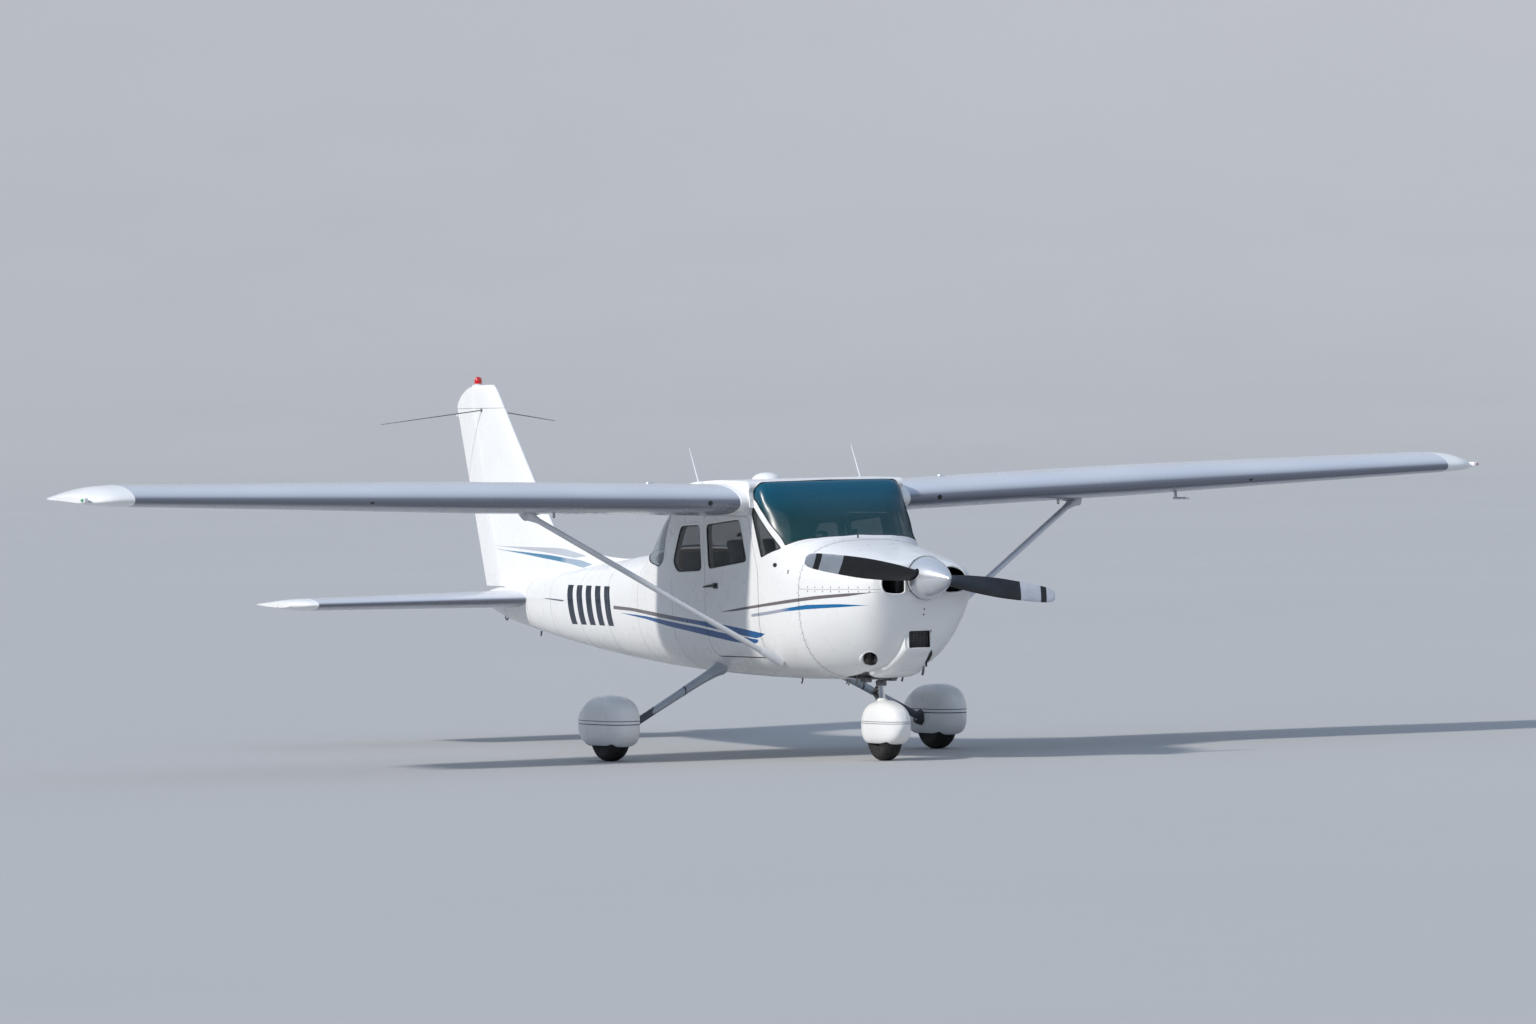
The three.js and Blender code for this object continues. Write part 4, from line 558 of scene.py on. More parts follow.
SUN_POWER, SUN_WIDTH, SUN_COLOUR, SUN_FROM = 2.9, math.radians(4), (1.0, 0.96, 0.91), Vector((-0.82, -0.08, 0.57))
lamp = bpy.data.objects.new("broad_lamp", bpy.data.lights.new("broad_lamp", "SUN"))
lamp.data.energy, lamp.data.angle, lamp.data.color = SUN_POWER, SUN_WIDTH, SUN_COLOUR
lamp.matrix_world = SUN_FROM.to_track_quat("Z", "Y").to_matrix().to_4x4()
scene.collection.objects.link(lamp)

SKY_LOW, SKY_HIGH, SKY_POWER = (0.80, 0.855, 0.92), (0.44, 0.57, 0.80), 0.78
world = bpy.data.worlds.new("pale_sky")
world.use_nodes = True
scene.world = world
sky = world.node_tree
direction = node(sky, "SeparateXYZ", {0: node(sky, "TexCoord").outputs["Generated"]}).outputs["Z"]
shade = mixed(sky, spread(sky, direction, -0.05, 0.75, 0.0, 1.0), [*SKY_LOW, 1], [*SKY_HIGH, 1])
sky.links.new(shade, sky.nodes["Background"].inputs["Color"])
sky.nodes["Background"].inputs["Strength"].default_value = SKY_POWER
scene.view_settings.view_transform = "Standard"
print("floor", BOWL[-1][0], "m across its radius")

# %% [markdown]
# ## The fuselage
# The body is drawn as upright sections, each a rounded box whose upper and lower halves have their
# own roundness. A table of 22 such sections gives the whole hull, and points are set evenly round
# each one so that the faces stay near square and the gloss runs over them without ripples.

# %% Fuselage sections
BODY_COLUMNS = ("aft", "half", "mid", "top", "bottom", "above", "below")
BODY = np.array([
    (-845, 345, 1230, 1368, 1085, 2.6, 2.0), (-800, 385, 1225, 1385, 955, 2.6, 2.0),
    (-740, 415, 1220, 1400, 850, 2.7, 2.0), (-620, 452, 1210, 1420, 715, 2.8, 2.0),
    (-450, 495, 1195, 1450, 625, 2.8, 2.1), (-220, 530, 1170, 1492, 580, 2.8, 2.3),
    (0, 550, 1150, 1535, 566, 2.8, 2.6), (122, 558, 1140, 1559, 562, 3.0, 2.8),
    (300, 565, 1135, 1704, 560, 3.6, 2.9), (480, 570, 1130, 1850, 558, 8.0, 3.0),
    (606, 572, 1130, 1951, 557, 18.0, 3.0), (1100, 572, 1130, 1955, 560, 10.0, 3.0),
    (1500, 567, 1125, 1945, 568, 8.0, 3.0), (2000, 542, 1115, 1885, 580, 5.5, 2.9),
    (2270, 518, 1105, 1805, 589, 4.5, 2.8), (2520, 488, 1095, 1645, 598, 3.6, 2.7),
    (2800, 450, 1085, 1460, 609, 2.8, 2.6), (3480, 366, 1075, 1398, 650, 2.5, 2.5),
    (4400, 262, 1075, 1318, 727, 2.3, 2.4), (5300, 165, 1080, 1232, 830, 2.2, 2.3),
    (5900, 100, 1080, 1175, 912, 2.1, 2.2), (6250, 48, 1075, 1130, 990, 2.0, 2.0),
])
RING = 96


def section_at(aft):
    return [eased(BODY[:, 0], column, aft) for column in BODY.T[1:]]


def body_ring(aft, side=0.0, top=0.0, bottom=0.0, count=RING):
    """One section of the hull, drawn in by a wall at its sides, top and bottom."""
    half, mid, high, low, above, below = section_at(aft)
    turn = np.linspace(0, np.pi, 721)
    c = np.cos(turn)
    power = np.where(c >= 0, 2 / above, 2 / below)
    x = (half - side) * np.sin(turn).clip(0) ** power
    z = mid + np.where(c >= 0, high - top - mid, mid - low - bottom) * np.sign(c) * np.abs(c) ** power
    run = np.r_[0, np.cumsum(np.hypot(np.diff(x), np.diff(z)))]
    even = np.linspace(0, run[-1], count // 2 + 1)
    x, z = np.interp(even, run, x), np.interp(even, run, z)
    x, z = np.r_[x, -x[-2:0:-1]], np.r_[z, z[-2:0:-1]]
    return np.stack([x, np.full_like(x, aft), z], 1)


def hull(front, back, wall=lambda aft: (0, 0, 0), step=40):
    """The hull between two places, drawn in by a wall that may change along it."""
    places = np.linspace(front, back, max(2, round((back - front) / step) + 1))
    return loft([body_ring(aft, *wall(aft)) for aft in places])


def side_of(aft, height):
    """How far out the hull's side is at a place."""
    half, mid, high, low, above, below = section_at(aft)
    upper = height >= mid
    share = np.abs(height - mid) / np.where(upper, high - mid, mid - low)
    power = np.where(upper, above, below)
    return half * (1 - share ** power).clip(0) ** (1 / power)


WALL, UNDER_ROOF, UNDER_FLOOR = 42, 90, 110


def cabin_wall(aft):
    """How thick the cabin's walls are at its sides, under its roof and under its floor."""
    roofed = min(max((aft - 606) / 200, 0), 1) * min(max((2520 - aft) / 300, 0), 1)
    return WALL, WALL + roofed * (UNDER_ROOF - WALL), UNDER_FLOOR


def even_wall(wall, floor=None):
    """A wall of one thickness, for a hull's wall argument, or with a thicker floor."""
    return lambda aft: (wall, wall, wall if floor is None else floor)


print("hull sections:", len(BODY), "with", ", ".join(BODY_COLUMNS))

# %% [markdown]
# ## The cabin
# The cabin shell is the hull made hollow, with the windows and doorways cut through it. All openings
# are drawn as side views. Where two outlines meet, a post of painted metal is left, as on the real
# cabin. The doors are cut from the same hull, so that their skin runs on flush with the shell.

# %% Openings
OPENING = {
    "windscreen": [(108, 1566), (193, 1547), (264, 1507), (437, 1668), (575, 1805), (628, 1836), (640, 1882),
                   (610, 1934), (606, 2100), (-60, 2100), (-60, 1680)],
    "quarter": [(662, 1715), (640, 1784), (286, 1484), (533, 1418)],
    "door": [(590, 720), (590, 1330), (622, 1400), (735, 1706), (1440, 1706), (1440, 760), (1400, 720)],
    "door_window": [(856, 1688), (750, 1390), (1375, 1333), (1400, 1650)],
    "rear_side": [(1507, 1648), (1486, 1320), (1925, 1307), (2008, 1380), (1858, 1638)],
    "rear": [(2120, 1705), (2195, 1395), (2290, 1345), (2500, 1372), (2745, 1470), (2745, 1900), (2290, 1900),
             (2225, 1790)],
    "baggage": [(2080, 900), (2080, 1250), (2560, 1250), (2560, 940), (2520, 900)],
}
CORNER = {"windscreen": 10, "quarter": 18, "door": 40, "door_window": 45, "rear_side": 50, "rear": 40, "baggage": 45}
PORT, WHOLE, GAP = (150, 800), (-800, 800), 7
ROOF = [(622, 1716), (622, 1905), (632, 1938), (665, 1955), (1130, 1963), (1500, 1950), (1900, 1893), (2265, 1815),
        (2265, 1790), (1900, 1740), (1500, 1716)]
ROOF_HALF = 603


def outline(name, larger=0.0):
    return rounded(grown(OPENING[name], larger), CORNER[name])


def side_form(name, larger=0.0, reach=WHOLE):
    """An opening's outline pushed across the aircraft."""
    return prism(outline(name, larger), "x", *reach)


print("openings:", ", ".join(OPENING))

# %% Cabin shell
shell = raw("cabin_skin", hull(0, 2800), body_paint)
shell = cut(shell, raw("roof", prism(rounded(ROOF, 40), "x", -ROOF_HALF, ROOF_HALF), body_paint), "UNION")
shell = without(shell, hull(10, 2801, cabin_wall), cream)
for name in ("windscreen", "quarter", "rear_side", "rear"):
    shell = without(shell, side_form(name), body_paint)
for name, side in (("door", 1), ("door", -1), ("baggage", 1)):
    shell = without(shell, side_form(name, GAP, on_side(side, *PORT)), body_paint)
settle(shell, stands_for=["cabin_shell"])


# %% Doors
def door_panel(name, opening, side):
    """A panel of the hull inside an opening, with the cabin's wall behind it."""
    limits = np.array(OPENING[opening])[:, 0]
    ends = limits.min() - 40, limits.max() + 40
    panel = raw(name, hull(*ends), body_paint)
    panel = without(panel, hull(ends[0] - 1, ends[1] + 1, even_wall(WALL, UNDER_FLOOR)), cream)
    return within(panel, side_form(opening, reach=on_side(side, *PORT)), body_paint)


for side, hand in SIDES:
    door = without(door_panel("door_panel_" + hand, "door", side), side_form("door_window"), body_paint)
    settle(door, f"cabin_door_{hand}", [f"door_{hand}"])
settle(door_panel("baggage_panel", "baggage", 1), "baggage_hatch", ["baggage_door"])


# %% [markdown]
# ## Panes and their seals
# Each pane is a thin slice of the same hull, 3 mm inside the skin, kept only within its opening. Round
# it runs a white pressed frame with a thin dark rubber bead, made by sweeping a small profile along
# the opening's outline while it follows the curve of the side.

# %% Panes
GLASS_INSET, GLASS_THICK = 3, 5


def glass(name, opening, finish, reach=WHOLE):
    """A thin slice of the hull, just inside its skin, kept within an opening."""
    limits = np.array(OPENING[opening])[:, 0]
    ends = max(limits.min(), 1) - 0.5, min(limits.max(), 2799) + 0.5
    sheet = raw(name, hull(*ends, even_wall(GLASS_INSET), 25), finish)
    behind = hull(ends[0] - 9, ends[1] + 9, even_wall(GLASS_INSET + GLASS_THICK), 25)
    return within(without(sheet, behind, finish), side_form(opening, -0.4, reach), finish)


settle(glass("windscreen_pane", "windscreen", tinted), stands_for=["windscreen"])
settle(glass("rear_pane", "rear", clear), stands_for=["rear_window"])
SIDE_PANES = (("quarter", "quarter", "tinted_pane"), ("rear_side", "rear_side", "clear_pane"),
              ("door", "door_window", "clear_pane"))  # name, opening, slot
for side, hand in SIDES:
    for name, opening, slot in SIDE_PANES:
        made = glass(f"{name}_pane_{hand}", opening, side_tint, on_side(side, *PORT))
        body = f"cabin_door_{hand}" if name == "door" else AIRFRAME
        settle(made, body, [f"{name}_window_{hand}"])


# %% Frames and seals
def stepped(corners, step=25):
    """Extra points along an outline, so that it can follow a curved side."""
    corners = np.asarray(corners, float)
    made = []
    for a, b in zip(corners, np.roll(corners, -1, 0)):
        steps = max(1, int(np.hypot(*(b - a)) / step))
        made += [a + (b - a) * k / steps for k in range(steps)]
    return np.array(made)


def moulding(corners, profile, side):
    """A strip swept along a side outline. Profile: (outwards from the outline, proud of the skin)."""
    rings = []
    for out, proud in profile:
        line = grown(corners, out)
        rings.append(np.stack([side * (side_of(line[:, 0], line[:, 1]) + proud), line[:, 0], line[:, 1]], 1))
    return loft(np.array(rings).transpose(1, 0, 2), looped=True)


FRAME_PROFILE = ((-1, -2), (-1, 2), (3, 3.5), (15, 3.5), (19, 2), (20, -2))
BEAD_PROFILE = ((-9, -7), (-9, -0.5), (-5, 1.5), (-1, 0.5), (-1, -7))
for opening, rides in (("door_window", "cabin_door"), ("rear_side", None), ("quarter", None)):
    for side, hand in SIDES:
        body = f"{rides}_{hand}" if rides else AIRFRAME
        line = stepped(outline(opening))
        part(f"{opening}_seal_{hand}", moulding(line, BEAD_PROFILE, side), seal_black, body)
        if opening != "quarter":
            part(f"{opening}_frame_{hand}", moulding(line, FRAME_PROFILE, side), white_paint, body)

# %% [markdown]
# ## The tail cone and the cowl
# Behind the cabin the hull narrows to a plain cone. In front of the firewall it becomes the cowl: two
# thin halves that part at a level seam, with rounded edges at the nose, an air inlet on each side of
# the propeller, an intake below and an exhaust hole under the right side. The nose is rounded by
# drawing in the last few sections along a quarter circle.

# %% Tail cone
HINGE_TUBE, TAIL_LEVEL, TAIL_HINGE = 22, 1068, 6050
cone = raw("tail_cone_skin", hull(2800.5, 6250, step=60), body_paint)
cone = without(cone, hull(2800, 5900, even_wall(8), 80), body_paint)
rudder_room = prism([(5880, 1150), (6400, 1150), (6400, 1300), (5880, 1300)], "x", -150, 150)
bore = turned([(HINGE_TUBE + 1, -170), (HINGE_TUBE + 1, 170)], (0, TAIL_HINGE, TAIL_LEVEL))
cone = without(without(cone, rudder_room, body_paint), bore, body_paint)
settle(cone, stands_for=["tail_cone"])

# %% Cowl halves
NOSE_FRONT, NOSE_ROUND, COWL_SEAM, COWL_WALL = -845, 48, 1205, 8
PROP_LINE, PROP_PLANE = 1275, -945
INLET = [(148, 1180), (146, 1330), (176, 1352), (240, 1350), (300, 1322), (331, 1276), (333, 1222), (312, 1182),
         (262, 1168), (180, 1166)]
INTAKE = [(-86, 788), (-86, 914), (86, 914), (86, 788)]
EXHAUST_X, EXHAUST_Y, EXHAUST_HOLE = -250, -470, (50, 72)  # the hole is long and lies a little ahead of the pipe


def exhaust_edge(turn=full_turn(40)):
    """Places round the exhaust hole, seen from below."""
    half, long = EXHAUST_HOLE
    return [(EXHAUST_X + half * math.cos(t), EXHAUST_Y - 20 + long * math.sin(t)) for t in turn]


def cowl_skin(inset):
    """The cowl as a closed form, with its front edge rounded, drawn in by an inset."""
    rings = []
    for turn in np.linspace(0, np.pi / 2, 9):
        drawn = NOSE_ROUND * (1 - math.sin(turn)) + inset
        rings.append(body_ring(NOSE_FRONT + inset + NOSE_ROUND * (1 - math.cos(turn)), drawn, drawn, drawn))
    for aft in np.linspace(NOSE_FRONT + NOSE_ROUND + 25, 12 if inset else -0.3, 30):
        rings.append(body_ring(aft, inset, inset, inset))
    return loft(rings)


def front_form(corners, front, back, radius):
    """An outline in the nose with rounded corners, pushed aft."""
    return prism(rounded(corners, radius), "y", front, back)


INLETS = INLET, [(-x, z) for x, z in INLET]
HOLLOWS = [cowl_skin(COWL_WALL), *(front_form(corners, -900, -755, 40) for corners in INLETS),
           front_form(INTAKE, -900, -500, 12),
           turned([(72, -900), (72, -790)], (0, 0, PROP_LINE), "y"),  # for the shaft
           prism(exhaust_edge(), "z", 500, 900),
           block((-200, 200), (-330, -20), (500, 700), 20)]  # where the air leaves
for name, limits in (("cowl_upper", (COWL_SEAM + 1, 1900)), ("cowl_lower", (300, COWL_SEAM - 1))):
    cowl = raw(name + "_skin", cowl_skin(0), body_paint)
    for hollow in HOLLOWS:
        cowl = without(cowl, hollow, trim_dark)
    keep = prism([(-700, -900), (700, -900), (700, 50), (-700, 50)], "z", *limits)
    settle(within(cowl, keep, body_paint), stands_for=[name])


# %% Lips of the inlets
def nose_point(x, z):
    """The front of the cowl at a place across and up, read off its rounded sections."""
    places = np.linspace(NOSE_FRONT, -600, 60)
    half, mid, high, low, above, below = section_at(places)
    upper = z >= mid
    share = (np.abs(x) / half) ** np.where(upper, above, below)
    share += (np.abs(z - mid) / np.where(upper, high - mid, mid - low)) ** np.where(upper, above, below)
    inside = places[share < 1]
    return inside[0] if len(inside) else places[-1]


LIP_RADIUS, LIP_SUNK = 7, 4.2
for side, hand in SIDES:
    line = stepped(rounded([(side * x, z) for x, z in INLET], 40), 8)
    path = [(x, nose_point(x, z) + LIP_SUNK, z) for x, z in line]
    part("inlet_lip_" + hand, tube(path, LIP_RADIUS, 12, looped=True), white_paint)

# %% [markdown]
# ## The lower intake, the exhaust and the fittings under the nose
# The intake is a shallow scoop with a raised white rim, and a dark filter sits inside it. The scoop's
# body is a short loft that fades into the chin. The exhaust is a plain pipe in a hole with a bright
# lip, and some dark vents and brackets hang below the firewall.

# %% Scoop and filter
SCOOP = ((-752, 112, 934, 765), (-735, 114, 934, 755), (-690, 118, 906, 729), (-620, 130, 852, 682),
         (-520, 150, 800, 628), (-430, 182, 760, 596), (-345, 190, 740, 580))  # aft, half, top, bottom


def rounded_box_ring(half, top, bottom, aft, above=4.0, below=4.0, count=40):
    """An upright section between a circle and a box: the higher the power, the squarer."""
    c, s = np.cos(full_turn(count)), np.sin(full_turn(count))
    power = 2 / np.where(s >= 0, above, below)
    x = half * np.sign(c) * np.abs(c) ** power
    z = (top + bottom) / 2 + (top - bottom) / 2 * np.sign(s) * np.abs(s) ** power
    return np.stack([x, np.full(count, float(aft)), z], 1)


scoop = loft([rounded_box_ring(half, top, bottom, aft) for aft, half, top, bottom in eased_rows(SCOOP, 26)])
mouth = front_form(INTAKE, -900, -690, 12)
settle(without(raw("intake_scoop", scoop, white_paint), mouth, trim_dark))
rim_line = [(x, -754, z) for x, z in stepped(rounded(INTAKE, 14), 12)]
part("intake_rim", tube(rim_line, 6, 10, looped=True), white_paint)
part("air_filter", block((-85, 85), (-725, -715), (789, 913), 1), seal_black)
wires = [tube([(x, -727, 791), (x, -727, 911)], 1.5, 6) for x in np.arange(-77, 78, 11)]
wires += [tube([(-84, -729, z), (84, -729, z)], 1.5, 6) for z in np.arange(799, 910, 11)]
part("filter_mesh", joined(*wires), dull_steel)

# %% Exhaust, vents and brackets
pipe = tube([(EXHAUST_X, EXHAUST_Y, 930), (EXHAUST_X, EXHAUST_Y, 750), (EXHAUST_X, EXHAUST_Y + 5, 715),
             (EXHAUST_X, EXHAUST_Y + 12, 688)], 28, 32)
bore = tube([(EXHAUST_X, EXHAUST_Y, 760), (EXHAUST_X, EXHAUST_Y + 20, 650)], 25, 32)
pipe = without(raw("exhaust_pipe_tube", pipe, sooty), bore, seal_black)
settle(pipe, stands_for=["exhaust_pipe"])


def belly_height(x, aft):
    """The height of the hull's underside at a place."""
    half, mid, high, low, above, below = section_at(aft)
    return float(mid - (mid - low) * (1 - (np.abs(x) / half) ** below).clip(0) ** (1 / below))


edge = [(x, y, belly_height(x, y) + 1) for x, y in exhaust_edge()]
part("exhaust_lip", tube(edge, 3, 10, looped=True), white_paint)
shield = [(x - 4, y + 4, belly_height(x, y) - 2) for x, y in exhaust_edge(np.linspace(1.3, 3.3, 14))]
part("exhaust_shield", tube(shield, 2 + 13 * np.sin(np.linspace(0, np.pi, 14)), 12), white_paint)
port_pipe = tube([(128, -655, 790), (140, -620, 745), (156, -560, 712), (160, -535, 700)], [16, 24, 22, 18], 20)
port_drain = tube([(158, -560, 715), (160, -538, 690), (168, -520, 655)], 7, 12)
part("port_breather", joined(port_pipe, port_drain), sooty)
DRAINS = ((-120, 120, 45, 5), (-60, 210, 55, 5), (-210, 640, 50, 6), (60, -60, 70, 6), (190, -120, 60, 7),
          (-150, -90, 60, 6), (260, -300, 75, 9))  # across, aft, length, radius
drains = []
for x, aft, length, radius in DRAINS:
    top = belly_height(x, aft) + 12
    drains.append(tube([(x, aft, top), (x, aft + 4, top - length * 0.6), (x, aft + 18, top - length)], radius, 12))
part("belly_drains", joined(*drains), dull_steel)

# %% [markdown]
# ## The wings
# A wing is one airfoil, scaled by the chord at each rib. The section has a round nose and a fine
# tail, and at 76.5% of the chord it is hollowed for the flap and the aileron, whose own noses are
# round and turn in that hollow. The skins of flaps and ailerons are pressed with shallow beads, which
# are raised here by moving the surface in and out along the span.

# %% Airfoil sections
WING_ROOT, TIP_RIB = 605.3, 5160
WING = ((WING_ROOT, 640, 1630, 1806, 1.5, 0.137), (2560, 640, 1630, 1862, 0.6, 0.135),
        (TIP_RIB, 838, 1120, 1932, -1.5, 0.13))  # across, front, chord, height, turn, thickness
WING_TIP = ((TIP_RIB + 0.3, 838, 1120, 1932, -1.5, 0.13), (5290, 855, 1075, 1932, -1.5, 0.12),
            (5390, 915, 930, 1928, -1.5, 0.10), (5440, 1000, 740, 1926, -1.5, 0.08),
            (5455, 1060, 600, 1925, -1.5, 0.06))
HINGE_SHARE, CAMBER, WING_GAP = 0.765, 0.02, 7


def half_thickness(share, thick):
    """The usual five terms for half an airfoil's thickness, in shares of the chord."""
    terms = 0.2969 * np.sqrt(share) - 0.126 * share - 0.3516 * share**2 + 0.2843 * share**3 - 0.1036 * share**4
    return 5 * thick * terms


def camber_at(share, height, place=0.4):
    """How high the middle line of an airfoil is: two curves that meet at its highest place."""
    ahead = height / place**2 * (2 * place * share - share**2)
    behind = height / (1 - place) ** 2 * (1 - 2 * place + 2 * place * share - share**2)
    return np.where(share < place, ahead, behind)


def foil(kind, chord, thick, hinge, gap, camber=0.0, bead=0.0, edge=1.5):
    """A closed section as (along, up) points: whole, front (to the hinge hollow) or back (from the hinge)."""
    def side(shares, sign):
        out = half_thickness(shares, thick) + bead / chord * (shares > hinge + 0.01) * (shares < 0.985)
        return np.stack([shares * chord, (camber_at(shares, camber) + sign * out) * chord], 1)

    centre = np.array([hinge * chord, float(camber_at(np.array(hinge), camber)) * chord])
    nose = float(half_thickness(np.array(hinge), thick)) * chord

    def arc(radius, start, end, steps):
        turn = np.radians(np.linspace(start, end, steps))
        return centre + radius * np.stack([np.cos(turn), np.sin(turn)], 1)

    end = float(camber_at(np.array(1.0), camber)) * chord
    tail = np.array([[chord, end + edge], [chord, end - edge]])
    if kind == "back":
        shares = hinge + (1 - hinge) * np.array([0.94, 0.87, 0.6, 0.35, 0.12, 0.05])
        return np.concatenate([tail[:1], side(shares, 1), arc(nose, 90, 270, 15), side(shares[::-1], -1), tail[1:]])
    lip = 180 - math.degrees(math.asin((nose * 0.93 - 1) / (nose + gap)))
    hollow = arc(nose + gap, 360 - lip, lip, 9)
    last = hinge if kind == "whole" else hollow[0][0] / chord
    shares = last * (1 - np.cos(np.linspace(0, np.pi / 2, 20))) ** 1.25
    upper, lower = side(shares[::-1], 1), side(shares[1:], -1)
    if kind == "whole":
        return np.concatenate([tail[:1], upper, lower, tail[1:]])
    return np.concatenate([upper, lower, hollow])


print("points of a section with its hollow:", len(foil("front", 1600, 0.13, HINGE_SHARE, WING_GAP, CAMBER)))


# %% Sections of the wing
def wing_ring(station, kind, bead=0.0):
    """A wing section turned nose up or down and put in its place."""
    across, front, chord, height, turn, thick = station
    section = foil(kind, chord, thick, HINGE_SHARE, WING_GAP, CAMBER, bead)
    c, s = math.cos(math.radians(-turn)), math.sin(math.radians(-turn))
    along, rise = section[:, 0], section[:, 1]
    return np.stack([np.full(len(section), across), front + along * c - rise * s, height + along * s + rise * c], 1)


def wing_station(across):
    table = np.array(WING)
    return [across] + [np.interp(across, table[:, 0], column) for column in table.T[1:]]


print("chord halfway out:", wing_station(TIP_RIB / 2)[2])


# %% Wing skins
def wing_places(start, end, step):
    inside = [row[0] for row in WING if start < row[0] < end]
    return sorted(set(np.linspace(start, end, max(2, round((end - start) / step)))) | set(inside))


BEADS = {"pitch": 62.0, "tall": 2.2}


def beaded(across):
    """How far a pressed skin stands out at a place along the span."""
    return BEADS["tall"] * max(0.0, math.cos(2 * math.pi * across / BEADS["pitch"]))


wing = loft([wing_ring(wing_station(x), "front") for x in wing_places(WING_ROOT, TIP_RIB, 120)])
tip = loft([wing_ring(row, "whole") for row in eased_rows(WING_TIP, 22)])
FLAP_SPAN, AILERON_SPAN = (618, 2554), (2568, 5151)
flap, aileron = (loft([wing_ring(wing_station(x), "back", beaded(x)) for x in np.arange(*span, BEADS["pitch"] / 6)])
                 for span in (FLAP_SPAN, AILERON_SPAN))
for side, hand in SIDES:
    part("wing_skin_" + hand, mirrored(wing, side), wing_paint, stands_for=[f"wing_{hand}"])
    part("wing_tip_cap_" + hand, mirrored(tip, side), white_paint, stands_for=[f"wing_tip_{hand}"])
    part("flap_skin_" + hand, mirrored(flap, side), wing_paint, f"flap_panel_{hand}", [f"flap_{hand}"])
    part("aileron_skin_" + hand, mirrored(aileron, side), wing_paint, f"aileron_panel_{hand}",
         [f"aileron_{hand}"])

# %% [markdown]
# ## Struts
# One streamlined strut holds each wing. Its lower end sits in a short cuff on the hull and its upper
# end in a fairing under the wing.

# %% Wing struts
STRUT_LOW, STRUT_HIGH, STRUT_CHORD, STRUT_THICK = (470, 480, 690), (2180, 1000, 1775), 120, 52
LOW_CUFF = ((0.0, 1.14), (0.04, 1.14), (0.062, 1.08), (0.08, 0.93))  # share of the strut's length, how large
HIGH_CUFF = ((0.945, 0.94), (0.965, 1.1), (0.985, 1.3), (1.0, 1.5))
WEB = ((1940, 10, 1792, 1778), (2040, 40, 1798, 1760), (2120, 58, 1800, 1748), (2190, 52, 1800, 1756),
       (2235, 12, 1795, 1786))  # across, half length, top, bottom


def strut_ring(share, larger=1.0):
    """The strut's section at a share of its length, larger or smaller than the table says."""
    x, y, z = np.array(STRUT_LOW) + share * (np.array(STRUT_HIGH) - STRUT_LOW)
    section = foil("whole", STRUT_CHORD * larger, STRUT_THICK / STRUT_CHORD, 0.6, 0) * (1, larger)
    return stood(section, x, y - STRUT_CHORD * larger / 2, z)


strut = loft([strut_ring(share, 0.9) for share in np.linspace(0, 1, 24)])
low_cuff, high_cuff = (loft([strut_ring(*row) for row in rows]) for rows in (LOW_CUFF, HIGH_CUFF))
web = loft([oval_ring(x, STRUT_HIGH[1], (top + low) / 2, half, (top - low) / 2, 28)
            for x, half, top, low in eased_rows(WEB, 24)])
for side, hand in SIDES:
    part("strut_" + hand, mirrored(strut, side), strut_paint, stands_for=[f"wing_strut_{hand}"])
    for name, made in (("foot_cuff", low_cuff), ("top_cuff", high_cuff), ("web", web)):
        part(f"strut_{name}_{hand}", mirrored(made, side), strut_paint)

# %% [markdown]
# ## The tail surfaces
# The tailplane and fin have even sections with no camber. Each carries a hinged surface behind it,
# cut back where it meets the tail cone. The fin flows into the cone's top through a long fillet.

# %% Tailplane and elevator
TAIL_ROOT, TAIL_RIB, TAIL_TIP = (60, 5290, 6560), (1720, 5588, 6483), (1860, 5800, 6425)  # across, front, back
TAIL_THICK, ELEVATOR_INNER, ELEVATOR_INNER_BACK = 0.10, 135, 300


def tail_ring(across, front, back, kind, slim=1.0, bead=0.0):
    chord = back - front
    section = foil(kind, chord, TAIL_THICK * slim, (TAIL_HINGE - front) / chord, 7, bead=bead)
    return stood(section, across, front, TAIL_LEVEL)


def tail_stations(step):
    """Sections from the root to the rounded tip: (across, front, back, slimness)."""
    reach, fronts, backs = zip(TAIL_ROOT, TAIL_RIB)
    inner = [(x, np.interp(x, reach, fronts), np.interp(x, reach, backs), 1.0) for x in np.arange(*reach, step)]
    cap = eased_rows(((*TAIL_RIB, 1.0), (1785, 5628, 6476, 0.93), (1835, 5712, 6455, 0.8), (*TAIL_TIP, 0.6)), 10)
    return inner + [tuple(row) for row in cap]


front_half = [tail_ring(x, front, back, "front", slim) for x, front, back, slim in tail_stations(150)]
inner, tip = front_half[:-9], front_half[-10:]  # they share the tip rib
across_both = [ring * (-1, 1, 1) for ring in inner[::-1]] + inner
part("tailplane_skin", loft(across_both), wing_paint, stands_for=["tailplane"])
for side, hand in SIDES:
    part("tail_tip_" + hand, mirrored(loft(tip), side), white_paint)
back_half = [tail_ring(x, front, back, "back", slim, 0.6 * beaded(x)) for x, front, back, slim in tail_stations(10.5)]
NOTCH = [(-10, 5900), (ELEVATOR_INNER, 5900), (ELEVATOR_INNER, TAIL_HINGE + 20), (ELEVATOR_INNER_BACK, 6600),
         (-10, 6600)]
notch = prism(NOTCH, "z", TAIL_LEVEL - 200, TAIL_LEVEL + 200)
inner, tip = back_half[:-9], back_half[-10:]
for side, hand in SIDES:
    part("elevator_tip_" + hand, mirrored(loft(tip), side), white_paint, "elevator_surface")
for side, hand in SIDES:
    half = raw("elevator_skin_" + hand, mirrored(loft(inner), side), wing_paint)
    half = without(half, mirrored(notch, side), wing_paint)
    settle(half, "elevator_surface", ["elevator"] if hand == "left" else ())
tube_made = turned([(HINGE_TUBE, -150), (HINGE_TUBE, 150)], (0, TAIL_HINGE, TAIL_LEVEL))
part("elevator_tube", tube_made, bright_steel, "elevator_surface")

